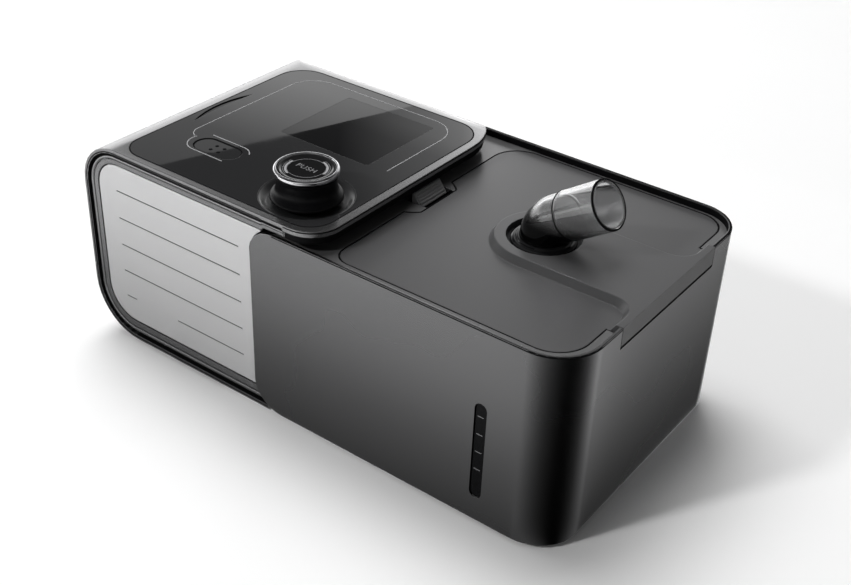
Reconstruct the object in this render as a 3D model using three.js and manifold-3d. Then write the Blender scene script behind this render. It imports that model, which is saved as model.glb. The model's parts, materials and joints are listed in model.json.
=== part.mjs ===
// A bedside breathing-therapy machine, in millimetres: a blower with a turn-and-press knob, and a humidifier
// that docks against its right side. +Z is up, the viewer's side is -Y, and the origin lies under the middle
// of the machine on the surface it stands on.
//
// Inside the file, x runs from the left end of the case and z from the underside of the case, so that every
// place can be read as a distance from an edge. The last group moves the whole machine to its origin.
import * as THREE from 'three';
import { mergeVertices } from 'three/addons/utils/BufferGeometryUtils.js';
import Module from 'manifold-3d';

const wasm = await Module();
wasm.setup();

// Whole machine
const bodyLength = 266;
const bodyWidth = 145;
const bodyHeight = 102;
const footHeight = 2;
const wall = 2.4;
const fitGap = 0.3;
const cutOverrun = 3;
const chordError = 0.11;

// Blower case
const blowerLength = 104;
const slabReach = 38.8;
const slabSkin = 4.4;
const slabThickness = 6.4;
const topLeftRadius = 22;
const bottomLeftRadius = 26;
const topBackRadius = 17.5;
const bottomBackRadius = 3;
const backLeftRadius = 8;
const slabFrontRadius = 15;
const slabBackRadius = 34;
const slabUndercut = 1;
const slabLipHeight = 1.8;
const bellyDrop = 3.2;
const bellyFloor = 2;
const bellyEndMargin = 6.4;
const bellySideMargin = 16.5;
const bellyWall = 2.5;
const splitShare = 1 / 3;

// Front frame and panel
const lipWidth = 2.2;
const frameSeat = 3.5;
const ledgeInset = 9.5;
const ledgeThickness = 2.5;
const grooveWidth = 1.1;
const grooveDepth = 2.5;
const beadWidth = 1.5;
const beadDepth = 0.8;
const frameLineWidth = 0.4;
const frameLineDepth = 1.9;
const bandDepth = 1.2;
const frameBarReach = 20;
const frameBarRise = 0.5;
const panelInset = 8.4;
const panelFootInset = 10;
const panelDepth = 1.6;
const panelRightGap = 0.5;
const panelGrooveCount = 5;
const panelGroovePitchShare = 0.1412;
const panelGrooveWidth = 0.6;
const panelGrooveDepth = 0.5;
const panelGrooveTop = 13.4;
const panelGrooveSide = 11.4;
const panelGrooveRight = 6.8;
const bareStart = 6.5;
const bareLength = 28.2;

// Glossy top plate and what it carries
const fasciaLeft = 22;
const fasciaRightGap = 4.5;
const fasciaFront = 3.9;
const fasciaBack = 18;
const fasciaThickness = 2.2;
const fasciaFrontRadius = 12;
const fasciaBackRadius = 14.5;
const fasciaLedge = 5;
const fasciaSideLedge = 15;
const displayFromRight = 76.8;
const displayFrontGap = 64;
const displayBackGap = 31.5;
const displayWidth = 51.5;
const displayCorner = 1.5;
const lensThickness = 1;
const displayLedge = 2.5;
const moduleThickness = 3.6;
const moduleMargin = 2;
const statusFront = 46.8;
const statusLength = 37.2;
const statusOffset = 1.6;
const statusSag = 3.4;
const statusDepth = 1.4;
const statusLensThickness = 0.8;

// Knob
const knobFromRight = 27.3;
const knobFront = 25.7;
const knobTopRadius = 14.3;
const knobWaistRadius = 13.2;
const knobBaseRadius = 16.2;
const knobTopRise = 14;
const knobRingHeight = 2.6;
const knobRingWidth = 1.6;
const knobCapDish = 0.6;
const knobFlareHeight = 4.6;
const knobSocketDepth = 8;
const pressTravel = 1.2;
const pressClearance = 0.4;
const bezelRadius = 20.4;
const bezelDepth = 2.4;
const bezelFloor = 1.6;
const bezelRim = 1.4;
const bezelBore = 4.5;
const shaftRadius = 3;
const encoderSide = 13;
const encoderHeight = 2.9;
const encoderFoot = 0.4;

// Mode button and its switch
const modeShare = 0.3636;
const modeFront = 32.2;
const modeLength = 25.5;
const modeWidth = 12.6;
const modeSink = 0.3;
const modeHeight = 4;
const modeTravel = 0.8;
const modeDotRadius = 0.9;
const modeDotRise = 0.25;
const modeDotSpread = 2.6;
const switchSide = 6;
const switchHeight = 3.4;
const plungerRadius = 1.7;

// Control board
const boardDrop = 12.4;
const boardThickness = 1.6;
const boardLeft = 8.5;
const boardRightGap = 3;
const boardInset = 6.6;
const chipSide = 14;
const chipHeight = 1.6;

// Screw pillars, posts, feet
const pillarLeft = 13;
const pillarRightGap = 8;
const pillarInset = 11.5;
const pillarRadius = 3.6;
const bossRadius = 4.6;
const shoulderRadius = 5;
const screwRadius = 1.5;
const screwHeadRadius = 2.8;
const screwHeadHeight = 2;
const screwSink = 8;
const screwReach = 12;
const railWidth = 10;
const railPocket = 1.2;
const railInset = 16.5;
const blowerRailLeft = 32;
const blowerRailRightGap = 16;
const humRailInset = 28;

// Fan
const fanShare = 0.481;
const fanBaseShare = 0.5098;
const fanHeightShare = 0.2745;
const fanWall = 2;
const scrollWidthShare = 0.207;
const scrollLengthShare = 0.2886;
const scrollGrowthShare = 0.6;
const scrollSteps = 36;
const ductRoom = 18;
const fanInletRadius = 17;
const impellerGap = 4;
const impellerDisc = 1.5;
const impellerClearance = 2.2;
const bladeCount = 9;
const bladeThickness = 1.2;
const bladeHeight = 14;
const bladeInnerRadius = 12;
const bladeSweep = 35;
const hubRadius = 5;
const rotorShaftRadius = 1.5;
const rotorShaftDrop = 17;
const motorShare = 0.6;
const motorHeight = 21;
const motorWall = 2.5;
const shaftHoleRadius = 4;
const mountHeight = 3;
const mountGap = 2.5;
const mountWidth = 7;
const postRadius = 3.4;

// Air path between the two units
const nozzleRadius = 8;
const nozzleBore = 6.2;
const nozzleReach = 8;
const ductFlange = 4;
const ductShoulder = 2.6;
const gasketRadius = 12;
const gasketThickness = 1.2;
const foamMargin = 2.6;
const foamTopGap = 6.3;
const foamInset = 20.5;
const foamRightGap = 8;
const foamRadius = 22;
const foamRound = 2;
const foamMotorGap = 10.5;

// Rear panel
const rearLeft = 12;
const rearRightGap = 8;
const rearBottom = 10;
const rearTopGap = 24;
const rearRadius = 5;
const rearThickness = 2;
const rearFlange = 4;
const rearFlangeThickness = 1.6;
const doorLeft = 20;
const doorBottom = 22;
const doorRightGap = 36;
const doorTopGap = 10;
const doorThickness = 1.8;
const doorGap = 0.5;
const doorPinRise = 1;
const doorPinRadius = 0.7;
const doorPinReach = 2.5;
const doorVentCount = 5;
const doorVentHeight = 2.4;
const doorVentMargin = 7;
const filterBoxWall = 1.6;
const filterBoxDepth = 12;
const filterThickness = 6.5;
const grilleCount = 4;
const grilleBar = 3;
const inletFromRight = 28;
const inletZ = 20;
const inletRadius = 5.5;
const inletBore = 3.2;
const inletPinRadius = 1;
const inletPinGap = 0.1;
const inletPinSink = 1;
const inletDepth = 12.5;
const inletSocketDepth = 9.5;
const cardFromRight = 27;
const cardDrop = 4.5;
const cardWidth = 24;
const cardLength = 32;
const cardThickness = 2.1;
const cardProud = 0.8;
const readerWall = 1.2;
const readerLength = 20;
const cardLipWidth = 8;
const cardLipHeight = 0.4;

// Dock
const dockBase = 2.7;
const plugShift = 20;
const plugZ = 26;
const plugWidth = 18;
const plugHeight = 9;
const plugDepth = 6;
const socketWidth = 24;
const socketHeight = 14;
const bladePitch = 5;
const bladeWidth = 1.2;
const bladeSide = 5;
const bladeReach = 5.5;
const contactCount = 3;

// Humidifier case
const rimFromTop = 7.5;
const rimWidth = 1.5;
const rimDrop = 3.4;
const flangeThickness = 2.4;
const humFrontRadius = 20.6;
const humBackRadius = 19.4;
const humLeftRadius = 1.2;
const humTopLeftRadius = 13.5;
const humBottomLeftRadius = 16;
const humBottomRadius = 2;
const basePlateInset = 19;
const toeThickness = 1;

// Lid
const lidFrontGap = 7.8;
const lidLeftGap = 40.6;
const lidRightGap = 7.3;
const lidBackGap = 3.4;
const lidNearLeftRadius = 8;
const lidNearRightRadius = 15;
const lidFarRightRadius = 12;
const lidFarLeftRadius = 14;
const lidThickness = 2.4;
const bayDepth = 5.9;
const bayHalf = 18;
const bayFloorHalf = 15.5;
const bayRadius = 2;
const tongueHalf = 21.3;
const tongueSlope = 2.2;
const tongueFlare = 10;
const tongueRidge = 3.4;
const tongueCore = 2.6;
const hingeHalf = 39;
const flapThickness = 2.2;
const flapDrop = 8.8;
const flapSlot = 1.3;
const hingeInset = 1.8;
const hingeDrop = 3.9;
const hingePinRadius = 1;
const hingePinReach = 3.5;
const hingeBossLength = 4;
const hingeBossDepth = 4.6;

// Outlet seat and elbow
const seatShare = 0.6265;
const seatRadius = 16.4;
const seatDepth = 3;
const collarWidth = 3.6;
const collarHeight = 5;
const elbowRadius = 11;
const elbowWall = 1.7;
const elbowSink = 9;
const elbowCornerRise = 6.5;
const elbowBendRadius = 13;
const elbowRiseAngle = 33.5;
const elbowSeam = 12.6;
const outletReach = 34;
const bendTaper = 0.3;
const cuffRadius = 14.4;
const cuffHeight = 1.6;
const cuffSink = 0.4;
const outletLipHeight = 1;
const bendSteps = 6;

// Catch that holds the lid shut
const catchShift = 1.6;
const catchWidth = 19.4;
const catchLeft = 37.3;
const catchTopRise = 0.5;
const catchFaceRun = 4.4;
const catchFaceDrop = 5.9;
const catchTopFlat = 0.8;
const catchBodyWidth = 3.4;
const catchLength = 15;
const catchRibCount = 5;
const catchRibHeight = 0.4;
const catchPinRise = 2.4;
const catchPinRadius = 1;
const catchPinReach = 2.8;
const catchEarWidth = 2.4;
const catchEarReach = 3.2;

// Water tank and heater
const tankLeft = 46;
const tankRight = 12;
const tankFront = 14.5;
const tankBack = 10.5;
const tankBottom = 8.6;
const tankTopGap = 8.5;
const tankWall = 2;
const tankRadius = 12;
const tankRimWidth = 2;
const tankRimHeight = 2;
const portRadius = 8.5;
const lidSealWidth = 3;
const lidSealInset = 0.5;
const heaterInset = 14;
const heaterRadius = 10;
const heaterThickness = 3;
const tubeOuter = 10.4;
const tubeInner = 8.5;
const tubeFlangeRadius = 14;
const tubeFlangeThickness = 2;

// Water level window
const windowFromRight = 38.7;
const windowWidth = 5.8;
const windowBottom = 11.7;
const windowTopGap = 34.3;
const windowSink = 0.7;
const windowThickness = 1.4;
const tickCount = 4;
const tickPitch = 9;
const tickBottom = 14.3;
const tickWidth = 2.6;
const tickHeight = 0.8;
const tickDepth = 0.3;

// Places worked out from the sizes above
const halfWidth = bodyWidth / 2;
const frontFace = -halfWidth;
const splitHeight = splitShare * bodyHeight;
const rimHeight = bodyHeight - rimFromTop;
const slabRight = blowerLength + slabReach;
const pillarHalf = halfWidth - pillarInset;
const pillarRight = blowerLength - pillarRightGap;
const boardRight = blowerLength - boardRightGap;
const blowerRailRight = blowerLength - blowerRailRightGap;
const boardHalf = halfWidth - boardInset;
const railY = halfWidth - railInset;
const foamHalf = halfWidth - foamInset;
const fasciaRight = slabRight - fasciaRightGap;
const displayLeft = slabRight - displayFromRight;
const knobX = slabRight - knobFromRight;
const knobY = frontFace + knobFront;
const modeX = fasciaLeft + modeShare * (knobX - fasciaLeft);
const modeY = frontFace + modeFront;
const panelGroovePitch = panelGroovePitchShare * bodyHeight;
const displayFront = frontFace + displayFrontGap;
const displayBack = halfWidth - displayBackGap;
const statusStart = frontFace + statusFront;
const lidHalf = halfWidth - (lidFrontGap + lidBackGap) / 2;
const lidCentreY = (lidFrontGap - lidBackGap) / 2;
const catchCentreY = lidCentreY + catchShift;
const seatX = blowerLength + seatShare * (bodyLength - blowerLength);
const fanX = fanShare * blowerLength;
const fanBase = fanBaseShare * bodyHeight;
const fanHeight = fanHeightShare * bodyHeight;
const outletLength = blowerLength - fanX - ductRoom;
const scrollRadius = Math.min(scrollWidthShare * bodyWidth, scrollLengthShare * blowerLength);
const scrollGrowth = scrollGrowthShare * scrollRadius;
const impellerRadius = scrollRadius - impellerGap;
const motorRadius = scrollRadius * motorShare;
const mountInner = motorRadius + mountGap;
const mountOuter = mountInner + mountWidth;
const postSpread = (mountInner + mountOuter) / 2 * Math.SQRT1_2;
const plugY = -plugShift;
const slabUnderside = bodyHeight - slabThickness;
const innerTop = bodyHeight - slabSkin;
const bellyUnderside = slabUnderside - bellyDrop;
const bellyRight = slabRight - bellyEndMargin;
const bellyHalf = halfWidth - bellySideMargin;
const ledgeFront = frontFace + frameSeat;
const ledgeBack = ledgeFront + ledgeThickness;
const frameBack = ledgeFront - fitGap;
const frameBarRight = blowerLength + frameBarReach;
const panelFace = frontFace + panelDepth;
const panelRight = blowerLength - fitGap;
const fasciaFrontY = frontFace + fasciaFront;
const fasciaBackY = halfWidth - fasciaBack;
const fasciaUnderside = bodyHeight - fasciaThickness;
const knobTop = bodyHeight + knobTopRise;
const bezelFloorTop = bodyHeight - bezelDepth;
const bezelUnderside = bezelFloorTop - bezelFloor;
const knobBase = bezelFloorTop + pressTravel + pressClearance;
const encoderBottom = bellyUnderside + bellyFloor + encoderFoot;
const boardTop = bodyHeight - boardDrop;
const boardUnderside = boardTop - boardThickness;
const fanTop = fanBase + fanHeight;
const fanMiddle = fanBase + fanHeight / 2;
const outletY = scrollRadius + scrollGrowth / 2;
const postTop = fanBase - mountHeight - fitGap;
const dockTop = bellyUnderside - fitGap;
const dockInner = blowerLength - wall;
const humLeft = blowerLength + fitGap;
const humBackY = halfWidth;
const lidTop = rimHeight - rimDrop;
const lidBottom = lidTop - lidThickness;
const lidLeft = blowerLength + lidLeftGap;
const lidRight = bodyLength - lidRightGap;
const hingeX = bodyLength - hingeInset;
const hingeZ = rimHeight - hingeDrop;
const flapBottom = rimHeight - flapDrop;
const tankX0 = blowerLength + tankLeft;
const tankX1 = bodyLength - tankRight;
const tankTop = rimHeight - tankTopGap;
const tankY0 = frontFace + tankFront;
const tankY1 = halfWidth - tankBack;
const catchX = blowerLength + catchLeft;
const catchTop = rimHeight + catchTopRise;
const catchBottom = catchTop - catchLength;
const catchPinX = catchX + catchBodyWidth / 2;
const catchPinZ = catchBottom + catchPinRise;
const seatFloor = rimHeight - seatDepth;
const elbowCornerZ = rimHeight + elbowCornerRise;
const windowX = bodyLength - windowFromRight;
const windowHeight = rimHeight - windowTopGap - windowBottom;
const humRailLeft = humLeft + humRailInset;
const humRailRight = bodyLength - humRailInset;
const rearFace = halfWidth;
const rearRight = blowerLength - rearRightGap;
const rearTop = bodyHeight - rearTopGap;
const inletFace = rearFace - fitGap / 2;
const doorRight = rearRight - doorRightGap;
const doorTop = rearTop - doorTopGap;
const doorHeight = doorTop - doorBottom;
const inletX = blowerLength - inletFromRight;
const cardX = blowerLength - cardFromRight;
const cardZ = fanBase - cardDrop;
const doorOuter = rearFace - fitGap / 2;
const doorPinY = doorOuter - doorThickness / 2;

const X = new THREE.Vector3(1, 0, 0);
const Y = new THREE.Vector3(0, 1, 0);
const Z = new THREE.Vector3(0, 0, 1);
const quarter = Math.PI / 2;

// Outlines are lists of points. An arc gets as many steps as keep its chords within chordError of the circle.
function arc(cx, cy, radius, from, to) {
  const step = 2 * Math.acos(1 - Math.min(chordError / radius, 0.3));
  const steps = Math.max(2, Math.ceil(Math.abs(to - from) / step));
  const points = [];
  for (let i = 0; i <= steps; i++) {
    const angle = from + (to - from) * i / steps;
    points.push(new THREE.Vector2(cx + radius * Math.cos(angle), cy + radius * Math.sin(angle)));
  }
  return points;
}

function corner(cx, cy, radius, from, to) {
  return radius > 0 ? arc(cx, cy, radius, from, to) : [new THREE.Vector2(cx, cy)];
}

// A rectangle with its own radius at each corner, counter-clockwise from the lower left.
function roundedBox(
  x0, y0, x1, y1, lowerLeft, lowerRight = lowerLeft, upperRight = lowerLeft, upperLeft = lowerLeft,
) {
  return [
    ...corner(x0 + lowerLeft, y0 + lowerLeft, lowerLeft, 2 * quarter, 3 * quarter),
    ...corner(x1 - lowerRight, y0 + lowerRight, lowerRight, 3 * quarter, 4 * quarter),
    ...corner(x1 - upperRight, y1 - upperRight, upperRight, 0, quarter),
    ...corner(x0 + upperLeft, y1 - upperLeft, upperLeft, quarter, 2 * quarter),
  ];
}

function circle(cx, cy, radius) {
  return arc(cx, cy, radius, 0, 4 * quarter).slice(0, -1);
}

function points(...pairs) {
  return pairs.map(([x, y]) => new THREE.Vector2(x, y));
}

// A geometry becomes a closed mesh: only positions, shared vertices merged, and no triangle without area.
function closedMesh(geometry) {
  const bare = geometry.clone();
  bare.deleteAttribute('normal');
  bare.deleteAttribute('uv');
  const merged = mergeVertices(bare);
  const index = merged.index.array;
  const kept = [];
  for (let i = 0; i < index.length; i += 3) {
    const [a, b, c] = [index[i], index[i + 1], index[i + 2]];
    if (a !== b && b !== c && c !== a) {
      kept.push(a, b, c);
    }
  }
  merged.setIndex(kept);
  return merged;
}

function solid(geometry) {
  const mesh = closedMesh(geometry);
  return new wasm.Manifold(new wasm.Mesh({
    numProp: 3,
    vertProperties: new Float32Array(mesh.attributes.position.array),
    triVerts: new Uint32Array(mesh.index.array),
  }));
}

function geometryOf(body) {
  const mesh = body.getMesh();
  const geometry = new THREE.BufferGeometry();
  geometry.setAttribute('position', new THREE.BufferAttribute(mesh.vertProperties, 3));
  geometry.setIndex(new THREE.BufferAttribute(mesh.triVerts, 1));
  return geometry;
}

function extrude(outline, length) {
  return new THREE.ExtrudeGeometry(new THREE.Shape(outline), { depth: length, bevelEnabled: false });
}

// Prisms along each axis. alongY reads its outline as (x, z) and alongX reads it as (y, z).
function alongZ(outline, z0, z1) {
  return solid(extrude(outline, z1 - z0).translate(0, 0, z0));
}

function alongY(outline, y0, y1) {
  return solid(extrude(outline, y1 - y0).rotateX(quarter).translate(0, y1, 0));
}

function alongX(outline, x0, x1) {
  const turn = new THREE.Matrix4().makeBasis(Y, Z, X);
  return solid(extrude(outline, x1 - x0).applyMatrix4(turn).translate(x0, 0, 0));
}

function block(x0, x1, y0, y1, z0, z1) {
  const geometry = new THREE.BoxGeometry(x1 - x0, y1 - y0, z1 - z0);
  return solid(geometry.translate((x0 + x1) / 2, (y0 + y1) / 2, (z0 + z1) / 2));
}

function rodZ(x, y, radius, z0, z1) {
  return alongZ(circle(x, y, radius), z0, z1);
}

function rodY(x, z, radius, y0, y1) {
  return alongY(circle(x, z, radius), y0, y1);
}

function rodX(y, z, radius, x0, x1) {
  return alongX(circle(y, z, radius), x0, x1);
}

// A turned piece about a vertical axis at (x, y). The profile lists (radius, z) with the material on its left.
function turned(x, y, profile) {
  const widest = Math.max(...profile.map((point) => point.x));
  const segments = circle(0, 0, widest).length;
  return solid(new THREE.LatheGeometry(profile, segments).rotateX(quarter).translate(x, y, 0));
}

function ring(x, y, inner, outer, z0, z1) {
  return turned(x, y, points([inner, z0], [outer, z0], [outer, z1], [inner, z1], [inner, z0]));
}

// A closed form between two outlines of as many points each, one above the other.
function loft(lower, z0, upper, z1) {
  const count = lower.length;
  const positions = [];
  lower.forEach((point) => positions.push(point.x, point.y, z0));
  upper.forEach((point) => positions.push(point.x, point.y, z1));
  const index = [];
  for (let i = 0; i < count; i++) {
    const next = (i + 1) % count;
    index.push(i, next, count + next, i, count + next, count + i);
  }
  THREE.ShapeUtils.triangulateShape(lower, []).forEach(([a, b, c]) => index.push(c, b, a));
  THREE.ShapeUtils.triangulateShape(upper, []).forEach(([a, b, c]) => {
    index.push(count + a, count + b, count + c);
  });
  const geometry = new THREE.BufferGeometry();
  geometry.setAttribute('position', new THREE.Float32BufferAttribute(positions, 3));
  geometry.setIndex(index);
  return solid(geometry);
}

function join(...bodies) {
  return bodies.reduce((whole, body) => whole.add(body));
}

function cut(body, ...cutters) {
  return cutters.reduce((left, cutter) => left.subtract(cutter), body);
}

// Calls make(x, y) for each corner of a rectangle of places and joins the results.
function atCorners(x0, x1, y0, y1, make) {
  return join(...[[x0, y0], [x1, y0], [x0, y1], [x1, y1]].map(([x, y]) => make(x, y)));
}

// Blower case. Its outside is where a side profile, a back profile and a plan profile all agree. A toe runs
// under the humidifier's rounded lower edge.
function toeArc() {
  const radius = humBottomLeftRadius + fitGap;
  const tip = Math.asin((humBottomLeftRadius - toeThickness) / radius);
  return arc(humLeft + humBottomLeftRadius, humBottomLeftRadius, radius, 2 * quarter + tip, 2 * quarter);
}

function blowerForm() {
  const toe = toeArc();
  const side = [
    ...corner(bottomLeftRadius, bottomLeftRadius, bottomLeftRadius, 2 * quarter, 3 * quarter),
    new THREE.Vector2(toe[0].x, 0),
    ...toe,
    ...points([blowerLength, slabUnderside], [slabRight, slabUnderside], [slabRight, bodyHeight]),
    ...corner(topLeftRadius, bodyHeight - topLeftRadius, topLeftRadius, quarter, 2 * quarter),
  ];
  const back = roundedBox(frontFace, 0, halfWidth, bodyHeight, 0, bottomBackRadius, topBackRadius, 0);
  const plan = roundedBox(
    0, frontFace, slabRight, halfWidth, 0, slabFrontRadius, slabBackRadius, backLeftRadius,
  );
  const hull = alongY(side, frontFace, halfWidth)
    .intersect(alongX(back, 0, slabRight))
    .intersect(alongZ(plan, 0, bodyHeight));
  const belly = block(blowerLength - wall, bellyRight, -bellyHalf, bellyHalf, bellyUnderside, innerTop);
  return join(hull, belly);
}

// The side outline of the hollow, drawn in from the outside by one wall.
function hollowSide(inset, right, top) {
  return [
    ...corner(bottomLeftRadius, bottomLeftRadius, bottomLeftRadius - inset, 2 * quarter, 3 * quarter),
    ...points([right, inset], [right, top]),
    ...corner(topLeftRadius, top - topLeftRadius + inset, topLeftRadius - inset, quarter, 2 * quarter),
  ];
}

function panelOutline(inset, foot, right) {
  const top = bodyHeight - inset;
  const left = inset;
  const upper = Math.max(topLeftRadius - inset, wall);
  const lower = Math.max(bottomLeftRadius - foot, wall);
  return [
    ...corner(left + lower, foot + lower, lower, 2 * quarter, 3 * quarter),
    ...points([right, foot], [right, top]),
    ...corner(left + upper, top - upper, upper, quarter, 2 * quarter),
  ];
}

function blowerHollow() {
  const rearWall = halfWidth - wall;
  const backInner = roundedBox(
    ledgeBack - cutOverrun, wall, rearWall, innerTop, 0, bottomBackRadius, topBackRadius - slabSkin, 0,
  );
  const main = alongY(hollowSide(wall, dockInner, innerTop), ledgeBack, rearWall)
    .intersect(alongX(backInner, 0, blowerLength));
  const doorway = block(
    dockInner - cutOverrun, blowerLength + cutOverrun, ledgeBack, rearWall, wall, bellyUnderside,
  );
  const bellyHollow = block(
    dockInner - cutOverrun, bellyRight - bellyWall, bellyWall - bellyHalf, bellyHalf - bellyWall,
    bellyUnderside + bellyFloor, innerTop,
  );
  const window = alongY(
    panelOutline(ledgeInset, panelFootInset + fitGap, blowerLength + cutOverrun),
    ledgeFront - cutOverrun, ledgeBack + cutOverrun,
  ).intersect(
    block(0, blowerLength + cutOverrun, ledgeFront - cutOverrun, ledgeBack + cutOverrun, 0, bellyUnderside),
  );
  return join(main, doorway, bellyHollow, window);
}

// The recess in front that takes the frame: it follows the case inside a narrow lip, and runs on along the
// slab.
function frameSeatCut() {
  const seat = panelOutline(lipWidth, lipWidth, frameBarRight + fitGap);
  const limit = join(
    block(0, humLeft + humBottomLeftRadius, frontFace - cutOverrun, ledgeFront, 0, bodyHeight),
    block(blowerLength, frameBarRight + fitGap, frontFace - cutOverrun, ledgeFront, rimHeight, bodyHeight),
  );
  return alongY(seat, frontFace - cutOverrun, ledgeFront).intersect(limit);
}

function slabUndercutRing() {
  const outer = roundedBox(
    frameBarRight + fitGap, frontFace - cutOverrun, slabRight + cutOverrun, halfWidth + cutOverrun, 0,
  );
  const inner = roundedBox(
    blowerLength, frontFace + slabUndercut, slabRight - slabUndercut, halfWidth - slabUndercut,
    0, slabFrontRadius - slabUndercut, slabBackRadius - slabUndercut, 0,
  );
  const bottom = slabUnderside - cutOverrun;
  const top = bodyHeight - slabLipHeight - slabUndercut;
  return cut(alongZ(outer, bottom, top), alongZ(inner, bottom - cutOverrun, top + cutOverrun));
}

function fasciaOutline(gap) {
  return roundedBox(
    fasciaLeft - gap, fasciaFrontY - gap, fasciaRight + gap, fasciaBackY + gap,
    fasciaFrontRadius + gap, fasciaFrontRadius + gap, fasciaBackRadius + gap, fasciaBackRadius + gap,
  );
}

function fasciaCuts() {
  const pocket = alongZ(fasciaOutline(fitGap), fasciaUnderside, bodyHeight + cutOverrun);
  const opening = alongZ(
    roundedBox(
      fasciaLeft + fasciaLedge, fasciaFrontY + fasciaSideLedge,
      bellyRight - bellyWall, fasciaBackY - fasciaLedge,
      fasciaLedge,
    ),
    innerTop - cutOverrun, fasciaUnderside + cutOverrun,
  );
  const bezelPocket = rodZ(
    knobX, knobY, bezelRadius + fitGap, bezelUnderside - fitGap, bodyHeight + cutOverrun,
  );
  return join(pocket, opening, bezelPocket);
}

function pillarPlaces(make) {
  return atCorners(pillarLeft, pillarRight, -pillarHalf, pillarHalf, make);
}

function rearCut() {
  const opening = roundedBox(rearLeft, rearBottom, rearRight, rearTop, rearRadius);
  return alongY(opening, rearFace - wall - cutOverrun, rearFace + cutOverrun);
}

function blowerCase() {
  return cut(blowerForm(), blowerHollow(), frameSeatCut(), rearCut());
}

function upperShell() {
  const above = block(
    -cutOverrun, slabRight + cutOverrun, frontFace - cutOverrun, halfWidth + cutOverrun,
    splitHeight + fitGap / 2, bodyHeight + cutOverrun,
  );
  const pillars = pillarPlaces((x, y) => join(
    rodZ(x, y, pillarRadius, splitHeight + fitGap / 2, innerTop + fitGap),
    rodZ(x, y, shoulderRadius, boardTop + fitGap, innerTop + fitGap),
  )).intersect(blowerForm());
  const screwHoles = pillarPlaces(
    (x, y) => rodZ(x, y, screwRadius + fitGap, splitHeight, splitHeight + screwReach),
  );
  return cut(join(blowerCase().intersect(above), pillars), screwHoles, slabUndercutRing(), fasciaCuts());
}

function lowerShell() {
  const below = block(
    -cutOverrun, slabRight + cutOverrun, frontFace - cutOverrun, halfWidth + cutOverrun,
    -cutOverrun, splitHeight - fitGap / 2,
  );
  const bosses = pillarPlaces((x, y) => rodZ(x, y, bossRadius, 0, splitHeight - fitGap / 2));
  const posts = atCorners(fanX - postSpread, fanX + postSpread, -postSpread, postSpread, (x, y) => (
    rodZ(x, y, postRadius, wall / 2, postTop)
  ));
  const inside = join(bosses, posts).intersect(blowerForm());
  const screwHoles = pillarPlaces((x, y) => join(
    rodZ(x, y, screwHeadRadius + fitGap, -cutOverrun, screwSink + screwHeadHeight + fitGap),
    rodZ(x, y, screwRadius + fitGap, 0, splitHeight + cutOverrun),
  ));
  const railPockets = [-railY, railY].map((y) => railCut(blowerRailLeft, blowerRailRight, y));
  return cut(join(blowerCase().intersect(below), inside), screwHoles, ...railPockets);
}

function caseScrew(x, y) {
  return join(
    rodZ(x, y, screwHeadRadius, screwSink, screwSink + screwHeadHeight),
    rodZ(x, y, screwRadius, screwSink + screwHeadHeight / 2, splitHeight + screwReach - fitGap),
  );
}

// Rubber rails in shallow pockets are the machine's feet.
function railOutline(x0, x1, y, gap) {
  const half = railWidth / 2 + gap;
  return roundedBox(x0 - gap, y - half, x1 + gap, y + half, half);
}

function rail(x0, x1, y) {
  return alongZ(railOutline(x0, x1, y, 0), -footHeight, railPocket - fitGap);
}

function railCut(x0, x1, y) {
  return alongZ(railOutline(x0, x1, y, fitGap), -cutOverrun, railPocket);
}

// The frame around the front panel steps inwards: a deep groove, a bright bead, a fine line and a flat band.
function frontFrame() {
  const start = lipWidth + fitGap;
  const end = panelInset - fitGap;
  const foot = panelFootInset - fitGap;
  const steps = [
    { inset: start, depth: grooveDepth },
    { inset: start + grooveWidth, depth: beadDepth },
    { inset: start + grooveWidth + beadWidth, depth: frameLineDepth },
    { inset: start + grooveWidth + beadWidth + frameLineWidth, depth: bandDepth },
  ];
  const slab = (inset, face, back) => alongY(panelOutline(inset, inset, frameBarRight), face, back);
  let frame = slab(start, frontFace + grooveDepth, frameBack);
  steps.slice(1).forEach((step, i) => {
    const face = frontFace + step.depth;
    const previous = frontFace + steps[i].depth;
    if (face < previous) {
      frame = join(frame, slab(step.inset, face, frameBack));
    } else {
      frame = cut(frame, slab(step.inset, frontFace - cutOverrun, face));
    }
  });
  const opening = alongY(
    panelOutline(end, foot, frameBarRight + cutOverrun), frontFace - cutOverrun, frameBack + cutOverrun,
  );
  const barFloor = rimHeight + frameBarRise;
  const belowBar = block(
    humLeft + humTopLeftRadius / 2, frameBarRight + cutOverrun, frontFace - cutOverrun, ledgeBack,
    bodyHeight / 2, barFloor,
  );
  return cut(frame, opening, belowBar, humidifierRoom(frontFace - cutOverrun, ledgeBack));
}

// The humidifier's side outline with a gap round it, as a cutter for what ends against it.
function humidifierRoom(y0, y1) {
  const outline = roundedBox(
    humLeft - panelRightGap, -panelRightGap, bodyLength, rimHeight + panelRightGap,
    humBottomLeftRadius + panelRightGap, 0, 0, humTopLeftRadius + panelRightGap,
  );
  return alongY(outline, y0, y1);
}

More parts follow.
